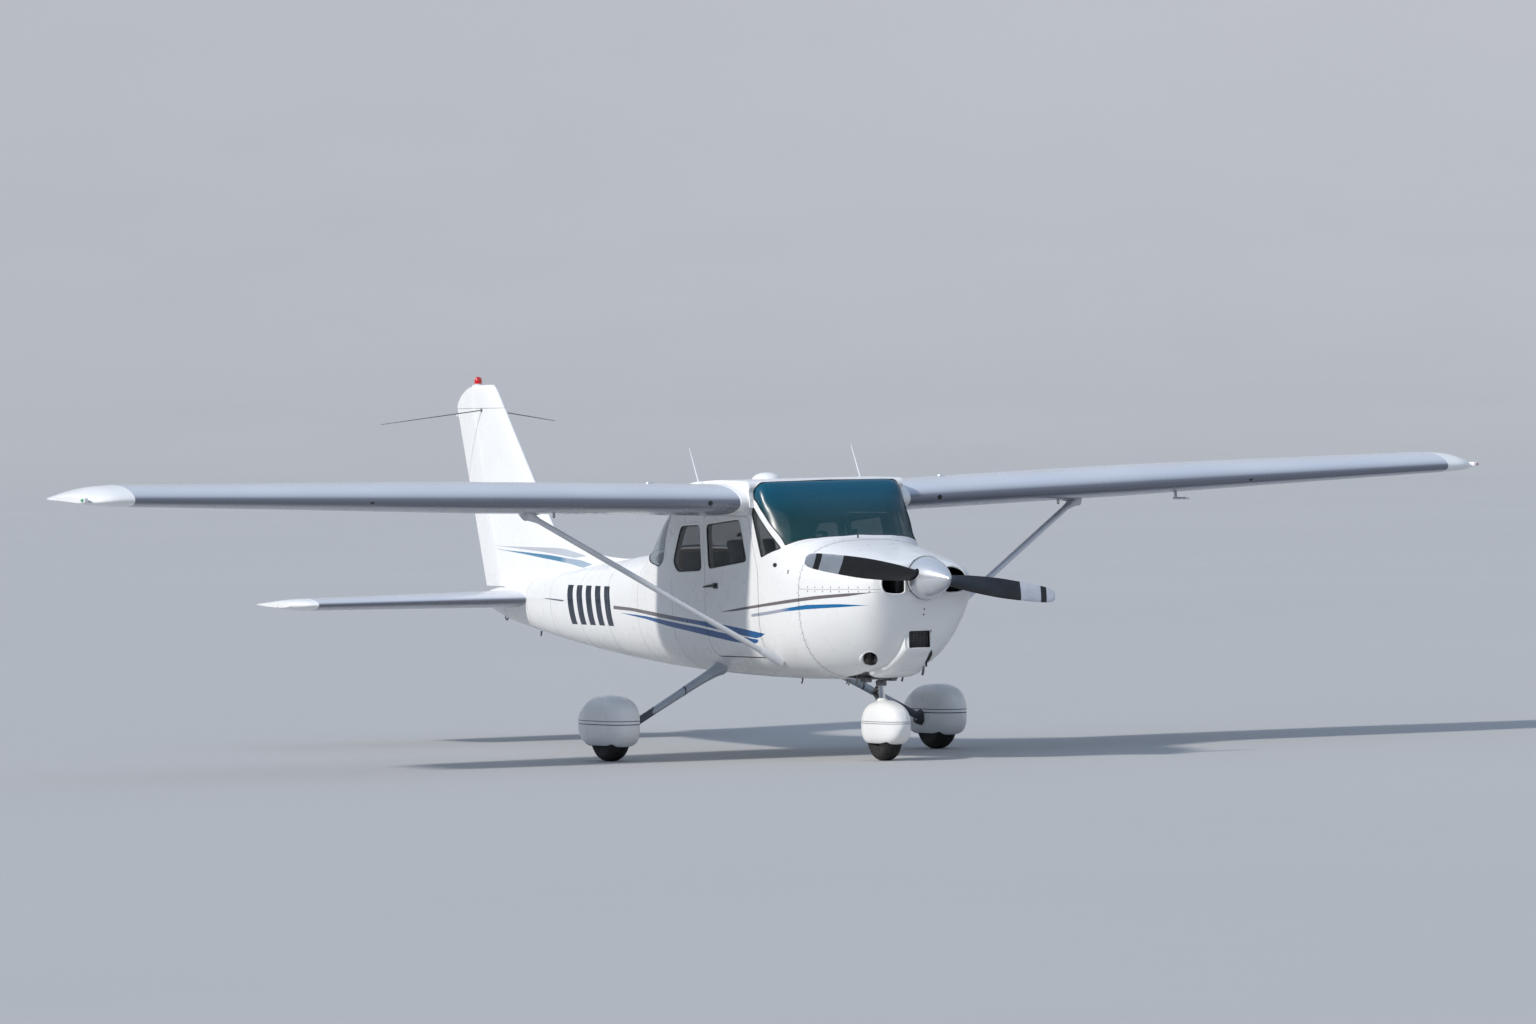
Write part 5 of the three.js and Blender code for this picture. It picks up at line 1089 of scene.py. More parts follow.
# %% Fin
FIN_STATIONS = ((1120, 4680, 1.0), (1935, 5455, 1.0), (2500, 5975, 1.0), (2600, 6066, 1.0), (2640, 6110, 0.9),
                (2660, 6140, 0.72), (2667, 6160, 0.5))  # height, front, slimness
NOSE_SHARE = 0.4  # the rounded part of the section, as a share of the length up to the hinge
FILLET = ((3700, 8, 1384), (3900, 18, 1376), (4150, 24, 1386), (4410, 30, 1412), (4770, 40, 1465),
          (5115, 50, 1580), (5300, 54, 1700))  # aft, half, top


def fin_hinge(height):
    """How far aft the rudder's hinge line is at a height."""
    return 5950 + (height - 1150) * 0.372


def fin_half(height):
    """Half the fin's thickness, which gets less above the middle."""
    return 60 - 18 * max(0.0, (height - 1700) / 800)


def fin_ring(height, front, slim):
    """A level section: a round nose, flat sides and a hollow for the rudder's nose."""
    hinge, half = fin_hinge(height), fin_half(height) * slim
    hollow = half * 0.86 + 8
    share = 1 - np.cos(np.linspace(0, np.pi / 2, 12))
    along = share * NOSE_SHARE
    wide = half * np.sqrt((4 * along * (1 - along) / (4 * NOSE_SHARE * (1 - NOSE_SHARE))).clip(0))
    side = np.stack([wide, front + along * (hinge - front)], 1)
    lip_turn = math.acos(half * 0.85 / hollow)
    arc = [(hollow * math.cos(t), hinge - hollow * math.sin(t)) for t in np.linspace(lip_turn, math.pi - lip_turn, 9)]
    lip = arc[0][1]
    middle = [(half, front + 0.6 * (hinge - front)), (half * 0.98, lip - 60), (half * 0.95, lip)]
    right_side = [tuple(p) for p in side[1:]] + middle
    left_side = [(-x, y) for x, y in right_side][::-1]
    return [(x, y, height) for x, y in right_side + arc + left_side + [(0, front)]]


at, fronts, slims = np.array(FIN_STATIONS).T
heights = np.r_[np.arange(1120, 2600, 60), np.linspace(2600, 2667, 10)]
fin = loft([fin_ring(z, np.interp(z, at, fronts), np.interp(z, at, slims)) for z in heights])
part("fin_skin", fin, body_paint, stands_for=["fin"], sharp=40)


def fillet_ring(aft, half, top):
    turn = np.linspace(0, np.pi, 21)
    x = -half * np.cos(turn)
    z = 1060 + (top - 1060) * np.sin(turn) ** 0.6
    return [(a, aft, b) for a, b in zip(x, z)]


part("dorsal_fillet", loft([fillet_ring(*row) for row in eased_rows(FILLET, 40)]), body_paint)


# %% Rudder
def rudder_ring(height, back, slim=1.0):
    hinge = fin_hinge(height)
    radius = fin_half(height) * 0.86 * slim
    flank = ((1.0, 0.0), (0.93, 0.12), (0.62, 0.45), (0.3, 0.75))  # shares of the radius and of the chord
    side = [(radius * wide, hinge + (back - hinge) * far) for wide, far in flank] + [(1.5, back)]
    nose = [(radius * math.cos(t), hinge - radius * math.sin(t)) for t in np.linspace(math.pi, 0, 15)[1:-1]]
    return [(x, y, height) for x, y in side + [(-x, y) for x, y in side][::-1] + nose]


RUDDER_BACK = ((1158, 6352, 1.0), (2500, 6818, 1.0), (2540, 6800, 0.96), (2592, 6735, 0.9), (2635, 6645, 0.78),
               (2652, 6580, 0.65))  # height, trailing edge, slimness
heights = np.r_[np.linspace(1158, 2500, 24), np.linspace(2510, 2652, 12)]
at, backs, slims = np.array(RUDDER_BACK).T
rows = [rudder_ring(height, np.interp(height, at, backs), np.interp(height, at, slims)) for height in heights]
part("rudder_skin", loft(rows), body_paint, "rudder_surface", ["rudder"])
CAP_SEAM = 2492  # the height at which the moulded caps of fin and rudder begin
outer = fin_ring(CAP_SEAM, np.interp(CAP_SEAM, *np.array(FIN_STATIONS).T[:2]), 1.0)
part("fin_cap_seam", tube(outer[23:] + outer[:14], 1.8, 6), seam_grey)
part("rudder_cap_seam", tube(rudder_ring(CAP_SEAM, 6815)[:10], 1.8, 6), seam_grey, "rudder_surface")
pin = tube([(0, fin_hinge(1142), 1142), (0, fin_hinge(1170), 1170)], 10, 16)
part("rudder_pin", pin, bright_steel, "rudder_surface")

# %% [markdown]
# ## The landing gear
# Each main wheel hangs on a bent steel tube under a smooth fairing, and the nosewheel turns on an oil
# leg. The wheel fairings are lofts of rounded boxes whose ends close to a blunt tip. They are made as
# thin shells, open below for the tyre.

# %% Wheel fairings
MAIN_X, MAIN_Y, MAIN_RADIUS, MAIN_WIDTH, MAIN_RIM = 1293, 1524, 215, 152, 82
NOSE_Y, NOSE_RADIUS, NOSE_WIDTH, NOSE_RIM = -195, 178, 128, 66
# aft of the wheel's middle, half, top, bottom
MAIN_FAIRING = ((-353, 3, 292, 272), (-350, 22, 310, 255), (-320, 72, 375, 172), (-232, 115, 440, 105),
                (-76, 127, 465, 91), (120, 126, 455, 91), (305, 95, 396, 124), (425, 40, 325, 208),
                (431, 3, 280, 250))
NOSE_FAIRING = ((-309, 3, 262, 246), (-306, 20, 276, 232), (-273, 62, 338, 160), (-183, 98, 393, 116),
                (-41, 110, 420, 106), (100, 107, 406, 106), (205, 78, 348, 140), (261, 28, 284, 215),
                (265, 3, 258, 240))


def fairing_form(table, centre_x, centre_y, inset=0.0):
    rings = []
    for aft, half, top, bottom in eased_rows(table, 57):
        if half > inset + 3:
            ring = rounded_box_ring(half - inset, top - inset, bottom + inset, centre_y + aft, 2.6, 3.4, 56)
            rings.append(ring + (centre_x, 0, 0))
    return loft(rings)


def fairing(name, table, x, y, opening, finish):
    """A thin shell round a wheel with an opening below, given as half width, half length and top."""
    shell = without(raw(name, fairing_form(table, x, y), finish), fairing_form(table, x, y, 6), trim_dark)
    half_x, half_y, top = opening
    tyre_room = block((x - half_x, x + half_x), (y - half_y, y + half_y), (40, top), 18)
    return without(shell, tyre_room, trim_dark)


for side, hand in SIDES:
    shell = fairing("main_fairing_" + hand, MAIN_FAIRING, side * MAIN_X, MAIN_Y, (92, 222, 190), main_fairing_paint)
    hole = tube([(side * 1000, 1527, 313), (side * 1230, 1521, 189)], 43, 32)
    settle(without(shell, hole, trim_dark), stands_for=[f"main_wheel_fairing_{hand}"])
    socket = tube([(side * 1140, 1524, 238), (side * 1158, 1523.6, 228), (side * 1180, 1523, 216)], [52, 54, 50], 24)
    part("leg_socket_" + hand, socket, trim_dark)

# %% Tyres and rims
def tyre_profile(radius, width, rim):
    """The round of a tyre as (radius, across) pairs, with three grooves in its tread."""
    half = width / 2
    outside = ((rim, -half * 0.62), (rim + 8, -half * 0.8), (radius * 0.62, -half * 0.94), (radius * 0.8, -half),
               (radius * 0.9, -half * 0.9), (radius * 0.965, -half * 0.66), (radius * 0.995, -half * 0.4),
               (radius, 0))
    curve = eased_rows(outside, 30)
    curve = np.concatenate([curve, curve[-2::-1] * (1, -1)])
    for groove in (-0.32, 0.0, 0.32):
        near = np.abs(curve[:, 1] - groove * half) < 3.4
        curve[near & (curve[:, 0] > radius * 0.95), 0] -= 6
    return curve


def wheel(label, size, x, y, rides, nodes):
    """A tyre on a dished rim with nine bolts."""
    radius, width, rim, axle = size
    half = width / 2
    tyre = turned(tyre_profile(radius, width, rim), (x, y, radius), sides=72, looped=True)
    part(f"{label}_tyre_rubber", tyre, rubber, rides, [nodes[0]])
    edge = rim - 0.4
    dish = ((axle, -0.5), (edge * 0.34, -0.54), (edge * 0.42, -0.44), (edge * 0.72, -0.3), (edge * 0.84, -0.34),
            (edge * 0.9, -0.6), (edge, -0.62))
    outline = [(r, half * d) for r, d in dish] + [(r, -half * d) for r, d in dish[::-1]]
    body = turned(outline, (x, y, radius), sides=48, looped=True)
    bolts = []
    for k in range(9):
        t = 2 * math.pi * k / 9
        cy, cz = y + edge * 0.58 * math.cos(t), radius + edge * 0.58 * math.sin(t)
        bolts.append(tube([(x - half * 0.46, cy, cz), (x + half * 0.46, cy, cz)], 4.5, 6))
    part(f"{label}_rim_metal", joined(body, *bolts), satin_metal, rides, [nodes[1]])


for side, hand in SIDES:
    wheel("main_" + hand, (MAIN_RADIUS, MAIN_WIDTH, MAIN_RIM, 17.6), side * MAIN_X, MAIN_Y, "main_wheel_" + hand,
          (f"main_tyre_{hand}", f"main_rim_{hand}"))
wheel("nose", (NOSE_RADIUS, NOSE_WIDTH, NOSE_RIM, 13.6), 0, NOSE_Y, "nose_wheel", ("nose_tyre", "nose_rim"))

# %% [markdown]
# ## The legs
# A main leg is one tapered tube, thick where it leaves the hull. It is painted blue-grey, and a
# darker sleeve covers its lower third. The nose leg is a polished piston in a dull cylinder, held
# straight by a folding link.

# %% Main legs
LEG = ((395, 1550, 640, 95, 60), (455, 1548, 606, 62, 44), (520, 1546.5, 572, 48, 38), (620, 1543, 519, 40, 34),
       (1150, 1524, 232, 30, 26))  # x, y, z, half length, half height


def leg_line(x):
    """The middle of the leg's straight part."""
    return x, 1524 + (1150 - x) * 0.0358, 232 + (1150 - x) * 0.5415


leg = loft([oval_ring(*row) for row in eased_rows(LEG, 40)])
axle = tube([(1125, 1524, 215), (1415, 1524, 215)], 17, 24)
disc = turned([(18, 1190), (48, 1190), (48, 1206), (18, 1206)], (0, 1524, 215), looped=True)
sleeve = loft([oval_ring(*leg_line(x), *size) for x, size in ((905, (31, 27)), (909, (33, 29)), (1155, (33, 29)))])
band = loft([oval_ring(*leg_line(x), 38, 33) for x in (700, 712)])
for side, hand in SIDES:
    part("main_leg_" + hand, mirrored(joined(leg, axle, disc), side), leg_paint,
         stands_for=[f"main_gear_leg_{hand}"])
    part("leg_sleeve_" + hand, mirrored(sleeve, side), sleeve_grey)
    part("leg_band_" + hand, mirrored(band, side), sleeve_grey)

# %% Nose leg
RAKE = math.tan(math.radians(6))


def on_leg(height, x=0.0, ahead=0.0):
    """A point on the steering axis, or beside and ahead of it."""
    return x, NOSE_Y + (height - NOSE_RADIUS) * RAKE - ahead, height


cylinder = tube([on_leg(520), on_leg(530), on_leg(960)], [33, 31, 31], 32)
collar = tube([on_leg(518), on_leg(524), on_leg(552), on_leg(558)], [34, 38, 38, 34], 32)
nose_bore = tube([on_leg(500), on_leg(640)], 23.5, 32)
mounts = [block((-60, 60), (-130, -1), (700, 740), 6), block((-60, 60), (-110, -1), (900, 940), 6)]
upper = raw("nose_leg_cylinder", joined(cylinder, collar, *mounts), dull_steel)
settle(without(upper, nose_bore, bright_steel), stands_for=["nose_gear_cylinder"])
arch = [(-79, 150), (-79, 340), (-56, 378), (56, 378), (79, 340), (79, 150), (69, 150), (69, 335), (48, 363),
        (-48, 363), (-69, 335), (-69, 150)]
fork = prism(rounded(arch, 8), "y", NOSE_Y - 20, NOSE_Y + 34)
piston = tube([on_leg(370), on_leg(620)], 22, 32)
axle = tube([(-98, NOSE_Y, NOSE_RADIUS), (98, NOSE_Y, NOSE_RADIUS)], 13, 24)
part("nose_leg_fork", joined(fork, piston, axle), bright_steel, "nose_gear", ["nose_fork"])
shell = fairing("nose_fairing", NOSE_FAIRING, 0, NOSE_Y, (78, 186, 165), nose_fairing_paint)
piston_hole = tube([on_leg(330), on_leg(460)], 24, 32)
settle(without(shell, piston_hole, trim_dark), "nose_gear", ["nose_wheel_fairing"])
neck = tube([on_leg(398), on_leg(408), on_leg(424), on_leg(432)], [52, 46, 36, 30], 32)
part("nose_fairing_neck", neck, white_paint, "nose_gear")

# %% [markdown]
# The folding link keeps the wheel straight while the piston slides. Its upper arm turns with the leg
# here as well, so both arms ride with the wheel.

# %% Folding link and brackets
knee = on_leg(470, ahead=-120)
arms = [tube([on_leg(height, x, ahead), (x * 0.4, *knee[1:])], [11, 8], 10)
        for height, ahead in ((420, -24), (508, -30)) for x in (-22, 22)]
pivots = [tube([(-20, *knee[1:]), (20, *knee[1:])], 10, 12),
          tube([on_leg(420, -30, -26), on_leg(420, 30, -26)], 10, 12)]
part("nose_link", joined(*arms, *pivots), dull_steel, "nose_gear")
bracket = [block((-95, 95), (-235, -120), (566, 592), 8), block((-120, -70), (-160, -60), (545, 590), 8),
           block((70, 120), (-170, -70), (550, 590), 8), tube([(-60, -60, 600), (-66, -40, 540)], 9, 12),
           tube([(75, -70, 600), (80, -50, 535)], 12, 12), tube([(-30, -110, 590), (30, -110, 560)], 8, 12)]
part("nose_leg_bracket", joined(*bracket), dull_steel)

# %% [markdown]
# ## Propeller and spinner
# A blade is an airfoil that gets narrower, thinner and flatter towards its tip, so its sections come
# from a table of radius, chord, thickness and pitch. The spinner is a turned cone with a cut-out round
# each blade. Both are drawn upright on the shaft and turned to the angle at which they stopped.

# %% Propeller
BLADE = ((60, 84, 0.50, 48), (150, 104, 0.34, 44), (300, 138, 0.20, 35), (520, 152, 0.13, 26), (760, 134, 0.10, 20),
         (900, 112, 0.09, 17), (955, 86, 0.09, 16), (975, 46, 0.10, 16))
PROP_ANGLE, SPINNER_BACK = -9, -857
SPINNER = ((0.5, -1236), (9, -1228), (22, -1208), (52, -1158), (83, -1095), (113, -1025), (138, -945), (153, -857))


def blade_ring(radius, chord, thick, pitch, larger=0.0):
    """A blade's section, turned to its pitch, on a blade that points along x."""
    turn = math.radians(pitch)
    section = foil("whole", chord + larger * 2, thick + larger * 2 / chord, 0.75, 0, 0.02)
    across, rise = section[:, 0] - chord / 2 - larger, section[:, 1]
    return np.stack([np.full(len(section), radius), across * math.sin(turn) - rise * math.cos(turn),
                     across * math.cos(turn) + rise * math.sin(turn)], 1)


def on_shaft(made, half_turn=False):
    """The made thing turned to the propeller's resting angle and put on the shaft."""
    angle = math.radians(PROP_ANGLE + (180 if half_turn else 0))
    c, s = math.cos(angle), math.sin(angle)
    x, y, z = made[0].T
    return np.stack([x * c - z * s, y + PROP_PLANE, x * s + z * c + PROP_LINE], 1), made[1]


table = np.array(BLADE, float).T
places = np.r_[np.arange(60.0, 880, 20), 905, 925, 945, 960, 968, 975]
blade = loft([blade_ring(r, *(eased(table[0], column, r) for column in table[1:])) for r in places])
hub = turned([(0.5, -45), (60, -45), (68, -38), (68, 57.5), (0.5, 57.5)], (0, 0, 0), "y")
blades = raw("propeller_blades", joined(on_shaft(blade), on_shaft(blade, True), on_shaft(hub)), blade_black)
blades.data.materials.append(blade_silver)
TIP_FROM, BAND = 0.70, (0.875, 0.897)  # metres from the shaft: the silver tip, and the dark band across it
for face in blades.data.polygons:
    reach = math.hypot(face.center.x, face.center.z - PROP_LINE * 0.001)
    face.material_index = int(reach > TIP_FROM and not BAND[0] < reach < BAND[1])
settle(blades, "propeller_and_spinner", ["propeller"])

# %% Spinner
profile = eased_rows(SPINNER, 40)
inside = [(max(r - 5, 0.5), y + 5) for r, y in profile[:-1]][::-1]
shape = [(r, y - PROP_PLANE) for r, y in [*profile, (148, SPINNER_BACK), *inside]]
spinner = raw("spinner_cone", on_shaft(turned(shape, (0, 0, 0), "y", 96, looped=True)), satin_metal)
slot_form = loft([blade_ring(*row, 8.0) for row in BLADE[:3]])
for half_turn in (False, True):
    spinner = without(spinner, on_shaft(slot_form, half_turn), trim_dark)
settle(spinner, "propeller_and_spinner", ["spinner"])
back_plate = turned([(69, 54), (151, 54), (151, 58), (69, 58)], (0, 0, 0), "y", 64, looped=True)
part("spinner_plate", on_shaft(back_plate), satin_metal, "propeller_and_spinner")
seam = turned([(146, 62), (153.2, 62), (151.8, 74), (146, 74)], (0, 0, 0), "y", 96, looped=True)
part("spinner_seam", on_shaft(seam), trim_dark, "propeller_and_spinner")
screws = []
for k in range(12):
    t = math.radians(15 + 30 * k)
    centre = np.array([152 * math.cos(t), 78, 152 * math.sin(t)])
    outward = np.array([math.cos(t), 0.0, math.sin(t)])
    screws.append(tube([centre - outward * 3, centre + outward * 2], 4, 8))
part("spinner_screws", on_shaft(joined(*screws)), dull_steel, "propeller_and_spinner")

# %% [markdown]
# ## The wing roots, the windscreen's edge and the panel seams
# A rounded white cuff covers the joint between each wing and the roof. The windscreen sits in a white
# strip with a dark seal, which follows the glass over the top of the hull. To find that line, the
# glass outline is walked in small steps and each step is put on the hull's side, and the two halves
# are joined over the middle.

# %% Root cuffs
ROOT_CUFF = ((603.5, 5.5), (620, 5.5), (652, 5), (662, 3.5), (668, 0.5))  # across, how far it stands proud
cuff = loft([stood(grown(wing_ring(wing_station(max(x, WING_ROOT)), "front")[:, 1:], proud), x)
             for x, proud in ROOT_CUFF])
for side, hand in SIDES:
    part("wing_root_cuff_" + hand, mirrored(cuff, side), white_paint)


# %% The windscreen's edge
def edge_path(corners, step=18):
    """An outline that passes over the top of the hull, as one loop of points on its skin."""
    line = stepped(corners, step)
    top = section_at(line[:, 0])[2]
    start = next(k for k in range(len(line)) if line[k, 1] < top[k] - 2 and line[k - 1, 1] >= top[k - 1] - 2)
    line, top = np.roll(line, -start, 0), np.roll(top, -start)
    kept = line[line[:, 1] < top - 2]
    x = side_of(kept[:, 0], kept[:, 1])
    half = np.column_stack([x, kept])
    ends = [(0.0, kept[k, 0], float(section_at(kept[k, 0])[2])) for k in (0, -1)]
    return [ends[0], *half, ends[1], *(half[::-1] * (-1, 1, 1))]


def lifted(path, out):
    """A path moved straight away from the hull's middle, to lie on or above the skin."""
    path = np.asarray(path, float)
    middle = np.column_stack([np.zeros(len(path)), path[:, 1], np.full(len(path), 1130.0)])
    away = path - middle
    return path + away / np.linalg.norm(away, axis=1)[:, None] * out


for opening, label, offsets in (("windscreen", "windscreen", (9, 17, 25)), ("rear", "rear_pane", (9,))):
    part(label + "_seal", tube(lifted(edge_path(outline(opening)), -1), 4, 8, looped=True), seal_black)
    strips = [tube(lifted(edge_path(outline(opening, out)), -2.5), 6, 8, looped=True) for out in offsets]
    part(label + "_strip", joined(*strips), white_paint)


# %% Seams across the hull
def band_round(aft, wide=2.4, proud=0.5, keep=None):
    """A thin strip laid on the hull along one section, or along part of it."""
    rings = []
    for place, out in ((aft - wide / 2, -3), (aft - wide / 2, proud), (aft + wide / 2, proud), (aft + wide / 2, -3)):
        ring = body_ring(place, -out, -out, -out)
        rings.append(ring if keep is None else ring[keep(ring)])
    rings = np.array(rings).transpose(1, 0, 2)
    return loft(rings, looped=True) if keep is None else loft(rings)


HULL_SEAMS = (2800, 3480, 4120, 4760, 5300, 5860)
below_glass = band_round(2040, keep=lambda ring: ring[:, 2] < 1290)
seams = [band_round(aft) for aft in HULL_SEAMS] + [below_glass]
part("hull_seams", joined(*seams), seam_grey)
part("cowl_rear_seam", band_round(-3, 3.2, 0.6), seal_black)

# %% [markdown]
# ## Screws and studs
# A row of screws runs on each side of the cowl's rear seam, and larger studs hold the two halves of
# the cowl together. Each is a very low dome with eight sides. A sphere for each would be slow, so one
# small set of points is copied to every place in a single array.

# %% Screws and studs
def domes(places, outwards, radius, tall=0.06):
    """Low domes at many places, each facing its own way, as one mesh."""
    places, outwards = np.asarray(places, float), np.asarray(outwards, float)
    outwards = outwards / np.linalg.norm(outwards, axis=1)[:, None]
    helper = np.where(np.abs(outwards[:, 2:]) < 0.9, (0, 0, 1), (1, 0, 0))
    first = np.cross(outwards, helper)
    first /= np.linalg.norm(first, axis=1)[:, None]
    second = np.cross(outwards, first)
    c, s = np.cos(full_turn(8))[:, None], np.sin(full_turn(8))[:, None]
    rows = []
    for reach, height in ((1, -0.6), (1, 0.2), (0.6, 1)):
        ring = first[:, None] * c + second[:, None] * s
        rows.append(places[:, None] + ring * radius * reach + outwards[:, None] * radius * tall * height)
    points = np.concatenate(rows, 1).reshape(-1, 3)
    sides = [(k, (k + 1) % 8, (k + 1) % 8 + 8, k + 8) for k in range(8)]
    sides += [tuple(v + 8 for v in face) for face in sides]
    one = [*sides, tuple(range(16, 24)), tuple(range(7, -1, -1))]
    return points, [tuple(v + n * 24 for v in face) for n in range(len(places)) for face in one]


def on_hull(aft, count, low, high):
    """Even places round part of one section, and the way the skin faces there."""
    ring = body_ring(aft, count=360)
    share = np.linspace(low, high, count, endpoint=False)
    index = np.round(share * 360).astype(int) % 360
    faces = np.roll(ring, 1, 0) - np.roll(ring, -1, 0)
    away = np.column_stack([-faces[:, 2], np.zeros(360), faces[:, 0]])
    away *= np.sign((away * (ring - (0, aft, 1130))).sum(1))[:, None]
    return ring[index], away[index]


def gathered(*rows):
    """Several rows of places and ways as one."""
    places, ways = zip(*rows)
    return np.concatenate(places), np.concatenate(ways)


screw_rows = [on_hull(-16, 46, 0.08, 0.92), on_hull(14, 60, 0.08, 0.92)]
part("firewall_screws", domes(*gathered(*screw_rows), 4.2), dull_steel)


def along_side(heights, afts):
    """Places along both sides of the hull at given heights."""
    afts, heights = np.broadcast_arrays(np.asarray(afts, float), np.asarray(heights, float))
    x = side_of(afts, heights)
    right = np.column_stack([x, afts, heights])
    way = np.column_stack([np.ones(len(x)), np.zeros(len(x)), np.zeros(len(x))])
    return np.concatenate([right, right * (-1, 1, 1)]), np.concatenate([way, way * (-1, 1, 1)])


cowl_rows = [along_side(COWL_SEAM + off, np.arange(-780, -30, 94)) for off in (-14, 14)]
cowl_rows.append(([(0, -838, 1060), (0, -827, 1022)], [(0, -1, -0.2), (0, -1, -0.3)]))
part("cowl_studs", domes(*gathered(*cowl_rows), 6.5), dull_steel)


# %% [markdown]
# ## Things on the wings and on the roof
# The fuel caps, the breathing holes in the leading edge, the lamps in the tips, the aerials and the dome on
# the roof are small turned or lofted pieces, each sunk a few millimetres into its skin. A hole or slot is a
# solid black plug: its black is painted shade.

# %% Wing fittings
VENT, SLOT, FUEL_CAP = (901, -6), (3450, -14), (1150, 0.29)  # across, and the drop or the share of the chord
CAP_PROFILE = [(0.5, 10), (22, 10), (27, 8), (29, 3), (42, 2.5), (46, 0.5), (46, -8), (0.5, -8)]


def nose_of_wing(x, drop):
    """A point near the foremost line of the port wing, lower by a drop."""
    _, front, _, rise, _, _ = wing_station(x)
    return x, front, rise + drop


def top_of_wing(x, share):
    """The height of the upper skin at a share of the chord."""
    _, _, chord, rise, turn, thick = wing_station(x)
    up = (camber_at(np.array(share), CAMBER) + half_thickness(share, thick)) * chord
    lean = math.radians(-turn)
    return rise + share * chord * math.sin(lean) + up * math.cos(lean)


for side, hand in SIDES:
    vent = nose_of_wing(*VENT) * np.array([side, 1, 1])
    # The vent hole here and the slot below are black plugs, painted shade standing for the holes.
    part("air_vent_" + hand, tube([vent + (0, -1, 0), vent + (0, 22, 0)], 17, 24), seal_black)
    cap = turned(CAP_PROFILE, (FUEL_CAP[0] * side, 1110, top_of_wing(*FUEL_CAP)), "z")
    part("fuel_cap_" + hand, cap, satin_metal)
    x, y, z = nose_of_wing(*SLOT)
    slot = block((side * x - 14, side * x + 14), (y - 1, y + 30), (z - 6, z + 6), 3)
    part("edge_slot_" + hand, slot, seal_black)


# %% Tip lamps and wicks
TIP_LAMP = ((-4, 26, 16), (12, 25, 15), (26, 19, 12), (36, 9, 6), (38, 1, 1))  # outwards, half length, half height
for side, hand in SIDES:
    lens, lens_slot = (red_glass, "red_lens") if side > 0 else (green_glass, "clear_pane")
    rings = [oval_ring(side * (5462 + out), 985, 1938, *size, 24) for out, *size in eased_rows(TIP_LAMP, 12)]
    part("tip_lamp_" + hand, loft(rings), lens)
    base = block((side * 5466 - 22, side * 5466 + 8), (955, 1040), (1921, 1955), 6)
    part("tip_lamp_base_" + hand, base, white_paint)
    wicks = []
    for x in (3900, 4500, 5000):
        _, front, chord, rise, turn, _ = wing_station(x)
        back = np.array([side * x, front + chord - 4, rise + chord * math.sin(math.radians(-turn))])
        wicks.append(tube([back, back + (0, 110, -4)], [3, 1.4], 6))
    part("static_wicks_" + hand, joined(*wicks), blade_black, f"aileron_panel_{hand}")
tail_lamp = turned([(0.5, 30), (9, 28), (14, 18), (15, 0), (15, -12), (0.5, -12)], (0, 6800, 2440), "y", 24)
part("tail_lamp", tail_lamp, lamp_glass, "rudder_surface")

# %% Aerials, dome and pitot
whips = []
for side in (1, -1):
    foot, top = np.array([640 * side, 1330, 1896]), np.array([640 * side, 1500, 2190])
    whips.append(tube([foot, foot + (top - foot) * 0.5, top], [5.5, 4, 2], 10))
    whips.append(turned([(0.5, 34), (8, 32), (13, 22), (17, 6), (24, 0), (24, -10), (0.5, -10)], foot, "z", 24))
part("whip_aerials", joined(*whips), white_paint)
DOME = {"aft": 1579, "height": 1936, "radius": 105, "long": 1.3, "tall": 68}
profile = [(0.5, DOME["tall"]), (30, DOME["tall"] - 2), (62, DOME["tall"] - 12), (86, DOME["tall"] - 30),
           (98, DOME["tall"] - 50), (101, 8), (112, 4), (114, -20), (0.5, -20)]
dome = turned(eased_rows(profile[:6], 20).tolist() + profile[6:], (0, 0, 0), "z", 48)
dome = dome[0] * (1, DOME["long"], 1) + (0, DOME["aft"], DOME["height"]), dome[1]
part("roof_dome_cover", dome, white_paint, stands_for=["roof_dome"])
for side, hand in SIDES:
    hub, end = np.array([36 * side, 6290, 2478]), np.array([722 * side, 6635, 2385])
    rod = tube([hub, hub + (end - hub) * 0.5, end], [4.5, 3.5, 2.2], 10)
    puck = tube([hub - (end - hub) * 0.03, hub + (end - hub) * 0.02], [20, 12], 16)
    part("nav_rod_" + hand, joined(rod, puck), dull_steel, stands_for=[f"nav_aerial_{hand}"])
BEACON = (0, 6435, 2667)
lens = [(0.5, 64), (10, 62.5), (19, 57.5), (26, 48), (29, 34), (29, 8), (0.5, 8)]
part("beacon_lens", turned(lens, BEACON, "z", 32), red_glass, stands_for=["beacon"])
stalk = [(0.5, 9), (30, 9), (31, 5), (27, 1), (20, -4), (20, -12), (0.5, -12)]
part("beacon_foot", turned(stalk, BEACON, "z", 32), white_paint)
PITOT_AT = (2900, 850, 1752)
x, y, z = PITOT_AT
turn = full_turn(20)
mast = loft([np.stack([x + 7 * np.sin(turn), y + lean + 22 * np.cos(turn), np.full(20, height)], 1)
             for height, lean in ((z + 4, -16), (z + 60, -8), (1830, 0))])
head = tube([(x, y + 12, z), (x, y - 190, z), (x, y - 214, z), (x, y - 220, z)], [8, 8, 6, 3.5], 16)
part("pitot_head", joined(mast, head), satin_metal, stands_for=["pitot_tube"])

# %% [markdown]
# ## Small things on the hull
# Door handles, an oval vent and small holes sit on the sides. Under the tail are a tie-down ring and
# dark fittings, and each hinge line shows its brackets.

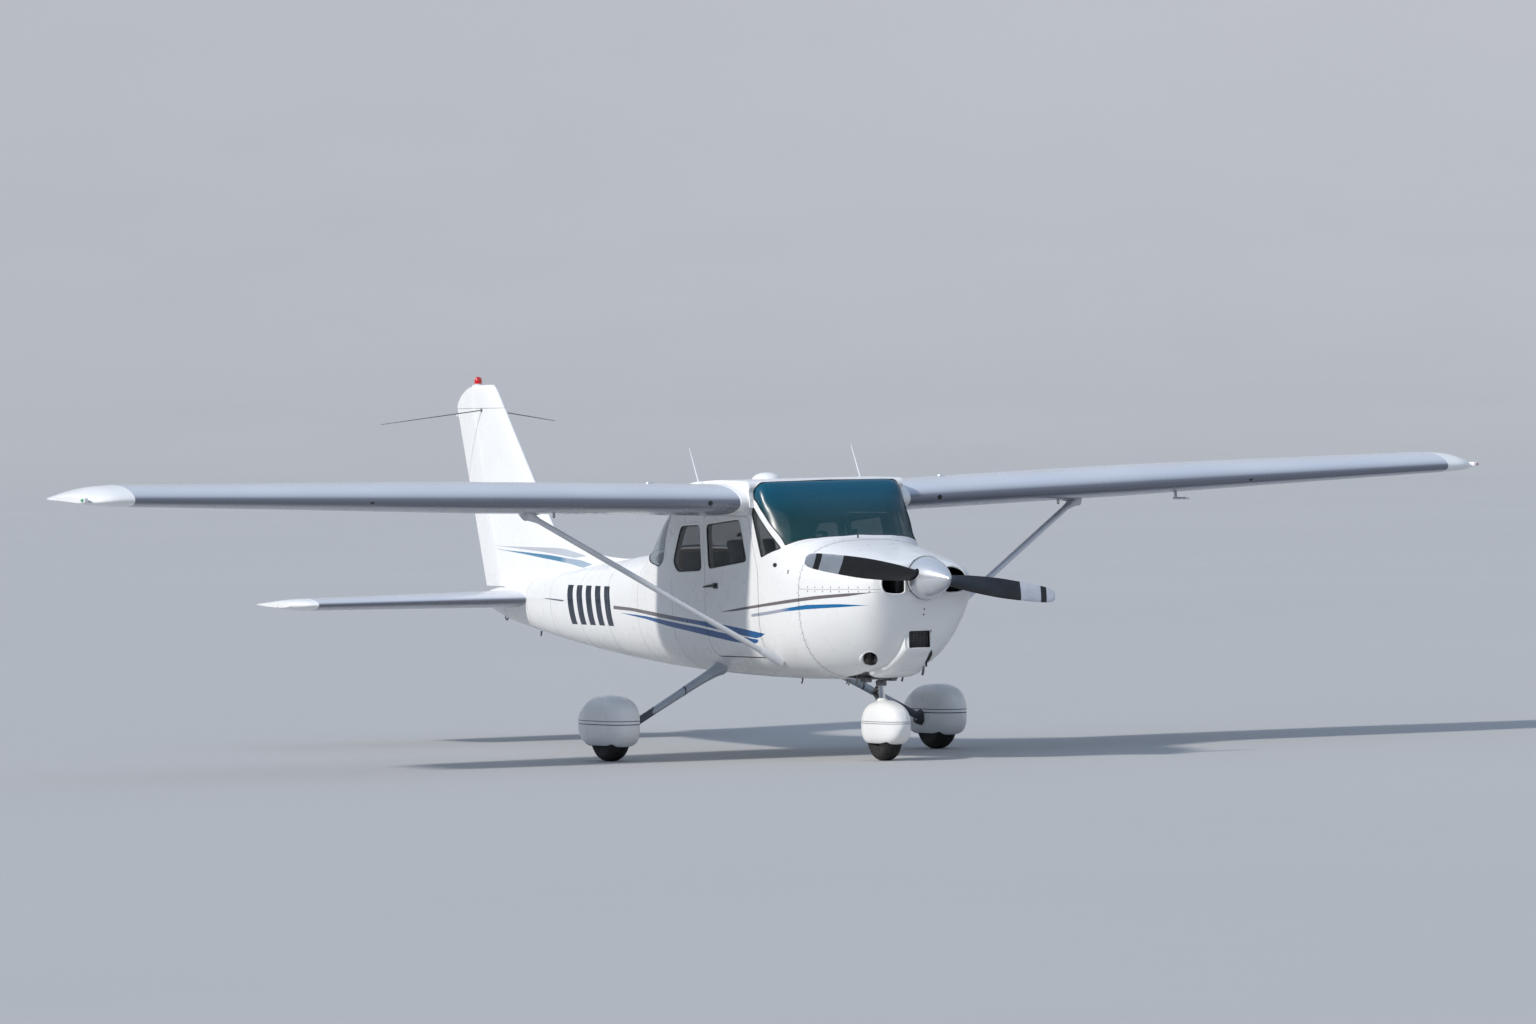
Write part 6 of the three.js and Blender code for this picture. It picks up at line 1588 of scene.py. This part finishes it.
# %% Handles, vents and rings
for side, hand in SIDES:
    x = float(side_of(1330, 1216)) * side
    plate = block((x - 6, x + 6), (1229, 1300), (1197, 1237), 5)
    bent = [(x + 12 * side, 1258, 1219), (x + 17 * side, 1330, 1216), (x + 16 * side, 1428, 1209)]
    lever = tube(bent, [10, 9, 6], 12)
    pivot = tube([(x - 4 * side, 1262, 1219), (x + 20 * side, 1262, 1219)], 12, 16)
    part("door_handle_" + hand, joined(plate, lever, pivot), trim_dark, f"cabin_door_{hand}")
    lock = tube([(x - 4 * side, 1400, 1160), (x + 3 * side, 1400, 1160)], 9, 16)
    part("door_lock_" + hand, lock, satin_metal, f"cabin_door_{hand}")
OVAL_VENT, SIDE_SLOT, PROBE = (332, 1370), (158, 1322), 128  # aft, and height for the first two
oval = [(OVAL_VENT[0] + 26 * math.cos(t), OVAL_VENT[1] + 15 * math.sin(t)) for t in full_turn(31)]
reach = [float(side_of(y, z)) for y, z in oval]
rings = [[(-(r + out), y, z) for r, (y, z) in zip(reach, oval)] for out in (-6, 1.2)]
part("oval_vent", loft(rings), seal_black)
x, (y, z) = -float(side_of(*SIDE_SLOT)), SIDE_SLOT
part("side_slot", block((x - 4, x + 6), (y - 5, y + 5), (z - 14, z + 14), 2), dull_steel)
part("top_probe", tube([(-40, PROBE - 50, 1540), (-40, PROBE - 56, 1572)], [6, 5], 12), seal_black)
ring = oval_ring(0, 6010, 925, 22, 22, 24)
tail_bits = [tube(ring, 5, 8, looped=True), block((-9, 9), (5985, 6035), (938, 975), 3),
             tube([(0, 5400, 826), (0, 5412, 790)], [8, 5], 10), block((-5, 5), (5200, 5290), (826, 850), 3)]
part("tail_fittings", joined(*tail_bits), dull_steel)
brackets = [block((-9, 9), (fin_hinge(z) - 68, fin_hinge(z) - 20), (z - 9, z + 9), 2) for z in (1320, 1800, 2280)]
part("rudder_brackets", joined(*brackets), dull_steel)
rings = [tube(oval_ring(1985 * side, 905, 1748, 14, 14, 20), 3.5, 8, looped=True) for side, _ in SIDES]
part("tie_down_rings", joined(*rings), dull_steel)

# %% [markdown]
# ## The engine
# A flat engine has its cylinders lying on each side of the crankcase. A cylinder's cooling fins are
# one turned profile shaped like a comb. Only a glimpse of it shows through the inlets.

# %% Engine
def comb(low, high, radius, core, pitch=10.0, thick=3.0):
    """A profile that steps out and in, for a finned barrel."""
    profile = [(0.5, low)]
    for at in np.arange(low, high - pitch, pitch):
        profile += [(core, at), (radius, at + 0.5), (radius, at + thick), (core, at + thick + 0.5)]
    return profile + [(core, high), (0.5, high)]


barrels = []
for side, places in ((1, (-560, -340)), (-1, (-500, -280))):
    for aft in places:
        fins = turned(comb(140, 372, 78, 62), (0, aft, 1165), "x", 28)
        barrels.append(fins if side > 0 else (fins[0] * (-1, 1, 1), [face[::-1] for face in fins[1]]))
        barrels.append(block(on_side(side, 362, 398), (aft - 62, aft + 62), (1092, 1238), 10))
case = block((-148, 148), (-700, -140), (1010, 1290), 18)
sump = block((-120, 120), (-640, -200), (1000.5, 1030), 12)
nose_case = tube([(0, aft, PROP_LINE) for aft in (-690, -780, -800, -887)], [120, 80, 62, 60], 40)
mounts = [tube([(x * 0.7, -150, z), (x, -2, z * 1.03 - 30)], 11, 10) for x in (-105, 105) for z in (1080, 1230)]
magnetos = [block((x - 35, x + 35), (-150, -70), (1140, 1230), 8) for x in (-60, 60)]
part("engine_block", joined(case, sump, nose_case, *barrels, *mounts, *magnetos), engine_grey,
     stands_for=["engine"])

# %% [markdown]
# ## Inside the cabin: the panel and the controls
# The instrument panel is a slab cut to the cabin's inner section. Round dials stand in two rows in
# front of the pilot, and a stack of radios is in the middle. A padded shelf above the panel keeps the
# sun off it. The control wheels are bent tubes.

# %% Panel
PANEL_FACE, INSIDE_WALL = 262, 46
panel = raw("panel_face", hull(225, PANEL_FACE, even_wall(INSIDE_WALL, UNDER_FLOOR), 12), trim_dark)
panel = within(panel, block((-600, 600), (220, 266), (1030, 1478), 3), trim_dark)
settle(panel, stands_for=["instrument_panel"])
shelf = raw("glare_shield", hull(132, 352, even_wall(INSIDE_WALL, UNDER_FLOOR), 20), glare_teal)
settle(within(shelf, block((-600, 600), (128, 350), (1470, 1502), 12), glare_teal))


BEZEL = ((-4, 0), (-4, 3.5), (0, 5.5), (4, 4), (5, 0), (5, -4), (-4, -4))  # out from the dial's edge, proud


def dial(x, z, radius):
    """One round instrument: its bezel, and its marks and needle."""
    profile = [(radius + out, proud) for out, proud in BEZEL]
    bezel = turned(profile, (x, PANEL_FACE, z), "y", 32, looped=True)
    marks = [block((-1.2, 1.2), (PANEL_FACE, PANEL_FACE + 1.2), (radius * 0.74, radius * 0.9), 0.3)] * 12
    needle = block((-1.6, 1.6), (PANEL_FACE + 1.4, PANEL_FACE + 2.6), (-6, radius * 0.66), 0.4)
    turned_marks = []
    for k, (points, faces) in enumerate([*marks, needle]):
        angle = math.radians(30 * k + (x + z) * 7)
        c, s = math.cos(angle), math.sin(angle)
        px, py, pz = points.T
        turned_marks.append((np.stack([px * c + pz * s + x, py, pz * c - px * s + z], 1), faces))
    return bezel, turned_marks


DIALS = [(x, z, 38) for x in (175, 262, 349) for z in (1330, 1418)]
DIALS += [(x, z, 25) for z in (1330, 1418) for x in (-110, -170)] + [(440, 1418, 36)]
bezels, marks = [], []
for x, z, radius in DIALS:
    ring, lines = dial(x, z, radius)
    bezels.append(ring)
    marks += lines
part("dial_bezels", joined(*bezels), dull_steel)
part("dial_marks", joined(*marks), dial_white)

# %% Radios, knobs and compass
RADIOS = range(1210, 1421, 42)  # their heights
radios = [block((-62, 92), (PANEL_FACE, PANEL_FACE + 9), (z - 19, z + 19), 2.5) for z in RADIOS]
knobs = [tube([(x, PANEL_FACE + 6, z), (x, PANEL_FACE + 24, z)], [9, 8], 16) for x in (-46, 76) for z in RADIOS[::2]]
part("radio_stack", joined(*radios, *knobs), blade_black)
screens = [block((-26, 56), (PANEL_FACE + 8, PANEL_FACE + 10.5), (z - 9, z + 9), 1) for z in RADIOS]
part("radio_screens", joined(*screens), glare_teal)
throttle = [tube([(x, PANEL_FACE + out, 1150) for out in (-2, 52, 56, 74)], [5, 5, 15, 15], 20) for x in (-10, 40)]
glove_box = block((-420, -230), (PANEL_FACE, PANEL_FACE + 5), (1180, 1290), 4)
part("panel_controls", joined(*throttle, glove_box), dull_steel)
compass = joined(tube([(0, 232, 1500), (0, 236, 1560)], 5, 10), block((-30, 30), (214, 258), (1558, 1606), 8),
                 tube([(0, 300, 1500), (0, 318, 1640)], 3, 8))
part("compass", compass, blade_black)

# %% Control wheels
YOKE_X, YOKE_Y, YOKE_Z = 255, 425, 1290
HALF_HANDLE = [(0, 1290), (62, 1284), (100, 1292), (113, 1320), (116, 1368)]  # from the middle outwards, height
for side, hand in SIDES:
    x = YOKE_X * side
    handle = [(x - out, YOKE_Y, z) for out, z in HALF_HANDLE[:0:-1]]
    handle += [(x + out, YOKE_Y, z) for out, z in HALF_HANDLE]
    bent = tube(eased_rows(handle, 33), 12, 14)
    hub = block((x - 34, x + 34), (YOKE_Y - 14, YOKE_Y + 14), (1262, 1318), 8)
    shaft = tube([(x, PANEL_FACE + 0.5, YOKE_Z), (x, YOKE_Y - 4, YOKE_Z)], 11, 20)
    collar = tube([(x, PANEL_FACE + 0.5, YOKE_Z), (x, PANEL_FACE + 12, YOKE_Z)], [24, 18], 24)
    yoke = joined(bent, hub, shaft, collar)
    part("control_yoke_" + hand, yoke, blade_black, stands_for=[f"control_wheel_{hand}"])

# %% [markdown]
# ## The seats
# A seat pad is foam in a sewn cover: crowned in the middle, pulled in along its edges, with sewn
# channels across it. Its form starts as a rounded block a little smaller than the pad. It is remeshed
# evenly, blown up gently as cloth, and the channels are pressed in afterwards, because remeshing
# would wipe them out. Both front seats are alike, so one is made and the other is its mirror image.

# %% Seat cloth
SEAT_VOXEL, SWELL_MOST, SEAM_WIDE, SEAM_DEEP = 0.012, 0.012, 0.007, 0.007  # metres
SWELL_STEPS, AIR_PRESSURE = 20, 4.0
seat_cloth, tree, place, _ = finish("seat_cloth", (0.36, 0.45, 0.54), 0.92, vary=0.18, cloud=14, sheen_weight=0.35)
threads = {0: place, "Scale": 190.0, "Distortion": 1.5, "Detail": 1.0}
weave = node(tree, "TexWave", threads, bands_direction="DIAGONAL").outputs["Fac"]
bump = node(tree, "Bump", {"Height": weave, "Strength": 0.5, "Distance": 0.0006})
tree.links.new(bump.outputs[0], tree.nodes["Principled BSDF"].inputs["Normal"])
print("seat cloth made")


# %% Blowing up and sewing
def swollen(piece):
    """The piece blown up as cloth, with no point moved further than the limit."""
    bpy.context.view_layer.objects.active = piece
    remesh = piece.modifiers.new("even", "REMESH")
    remesh.mode, remesh.voxel_size = "VOXEL", SEAT_VOXEL
    bpy.ops.object.select_all(action="DESELECT")
    piece.select_set(True)
    bpy.ops.object.modifier_apply(modifier="even")
    start = np.array([v.co for v in piece.data.vertices])
    cloth = piece.modifiers.new("stuffing", "CLOTH")
    cloth.settings.use_pressure, cloth.settings.uniform_pressure_force = True, AIR_PRESSURE
    cloth.settings.effector_weights.gravity = 0.0
    cloth.point_cache.frame_start, cloth.point_cache.frame_end = 1, SWELL_STEPS
    for step in range(1, SWELL_STEPS + 1):
        scene.frame_set(step)
    seen = piece.evaluated_get(bpy.context.evaluated_depsgraph_get())
    moved = np.array([v.co for v in seen.data.vertices]) - start
    far = np.linalg.norm(moved, axis=1)[:, None]
    moved *= np.minimum(1, SWELL_MOST / np.maximum(far, 1e-9))
    piece.modifiers.remove(cloth)
    scene.frame_set(1)
    piece.data.vertices.foreach_set("co", (start + moved).ravel())
    piece.data.update()
    smooth = piece.modifiers.new("smooth", "SUBSURF")
    smooth.levels = 1
    bpy.ops.object.modifier_apply(modifier="smooth")
    return piece


def sewn(piece, axis, channels):
    """Channels pressed into a pad where it meets planes at some places along an axis."""
    points = np.array([v.co for v in piece.data.vertices])
    normals = np.array([v.normal for v in piece.data.vertices])
    press = sum(np.exp(-((points[:, axis] - place) / SEAM_WIDE) ** 2) for place in channels)
    press = np.minimum(press, 1)[:, None]
    piece.data.vertices.foreach_set("co", (points - normals * press * SEAM_DEEP).ravel())
    piece.data.update()
    return piece


# %% Forms of the pads
def pad_form(corners, low, high, edge):
    """A pad's side view, [aft, height], with rounded corners, given width and softened sides."""
    line = rounded(corners, edge)
    rings = []
    for turn in np.linspace(0, np.pi, 9):
        c = round(math.cos(turn), 12)
        x = (low + high) / 2 - (high - low) / 2 * np.sign(c) * abs(c) ** 0.35
        rings.append(stood(grown(line, -0.6 * edge * (1 - math.sin(turn) ** 0.7)), x))
    return loft(rings)


CUSHION = [(778, 918), (1180, 918), (1160, 1018), (778, 1030)]
SEAT_BACK = [(1168, 1052), (1205, 1035), (1372, 1540), (1318, 1556)]
BENCH_CUSHION = [(1606, 918), (1985, 918), (1962, 1012), (1606, 1022)]
BENCH_BACK = [(1978, 1045), (2022, 1030), (2110, 1452), (2044, 1468)]
# name, side view, limits across, rounding, the direction in which the channels follow each other, and their places
PADS = (("seat_cushion", CUSHION, 57, 448, 34, "y", (0.89, 0.99, 1.09)),
        ("seat_back", SEAT_BACK, 57, 448, 24, "z", (1.19, 1.31, 1.43)),
        ("bench_cushion", BENCH_CUSHION, -448, 448, 34, "x", (-0.225, 0, 0.225)),
        ("bench_back", BENCH_BACK, -448, 448, 24, "x", (-0.225, 0, 0.225)))
pads = {}
for name, corners, low, high, edge, axis, channels in PADS:
    pad = swollen(raw(name, pad_form(corners, low, high, edge), seat_cloth))
    pads[name] = sewn(pad, "xyz".index(axis), [c + FIREWALL * (axis == "y") for c in channels])
print("pads:", *pads)


# %% Seats in place
def pad_done(pad, stands_for=()):
    """Shades a pad smooth, with crisp corners only past 60 degrees, and hides what it stands for."""
    settle(pad, stands_for=stands_for, sharp=60)


for name in ("seat_cushion", "seat_back"):
    port = pads[name]
    mesh = port.data.copy()
    mesh.transform(Matrix.Scale(-1, 4, (1, 0, 0)))
    mesh.flip_normals()
    starboard = bpy.data.objects.new(name + "_right", mesh)
    scene.collection.objects.link(starboard)
    port.name = name + "_left"
    for pad, hand in ((port, "left"), (starboard, "right")):
        pad_done(pad, [f"front_seat_{hand}"] if name == "seat_back" else [])
pad_done(pads["bench_cushion"])
pad_done(pads["bench_back"], ["rear_bench"])


# %% Belts and door cards
BELT_WIDE, BELT_THICK = 46, 2.5


def strap(path):
    """A flat strap that runs fore and aft along a path, as a closed ribbon."""
    path, across = np.asarray(path, float), np.array((1.0, 0, 0))
    ahead = np.gradient(path, axis=0)
    out = np.cross(ahead, across)
    out /= np.linalg.norm(out, axis=1)[:, None]
    corners = ((-1, -1), (1, -1), (1, 1), (-1, 1))
    return loft(np.stack([path + across * a * BELT_WIDE / 2 + out * b * BELT_THICK / 2 for a, b in corners], 1))


SHOULDER = ((90, 1232, 1300), (80, 1258, 1420), (70, 1282, 1520), (66, 1318, 1580), (66, 1352, 1584),
            (66, 1385, 1560))  # out from the seat's middle, aft, height
for side, hand in SIDES:
    x = 250 * side
    lap = [(x, 1150, 1052), (x, 1080, 1058), (x, 960, 1056), (x, 860, 1052)]
    shoulder = [(x + out * side, aft, z) for out, aft, z in SHOULDER]
    part("belts_" + hand, joined(strap(lap), strap(eased_rows(shoulder, 24))), trim_dark)
CARD_THICK = 8
for side, hand in SIDES:
    card = raw("door_card_" + hand, hull(615, 1425, even_wall(WALL + 1, UNDER_FLOOR)), cream)
    card = without(card, hull(600, 1440, even_wall(WALL + 1 + CARD_THICK, UNDER_FLOOR)), cream)
    card = within(card, block(on_side(side, 200, 700), (640, 1395), (760, 1305), 12), cream)
    settle(card, f"cabin_door_{hand}")
    rest = block(on_side(side, 478, 516), (900, 1260), (1120, 1152), 10)
    part("arm_rest_" + hand, rest, trim_dark, f"cabin_door_{hand}")

# %% Carried-over pieces
for name, finish_used in (("cabin_floor", carpet), ("rear_bulkhead", cream)):
    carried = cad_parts[name]
    for place in carried.material_slots:
        place.material = finish_used
left_plain = [name for name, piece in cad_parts.items() if not piece.hide_render]
print("CAD pieces shown as they are:", left_plain)
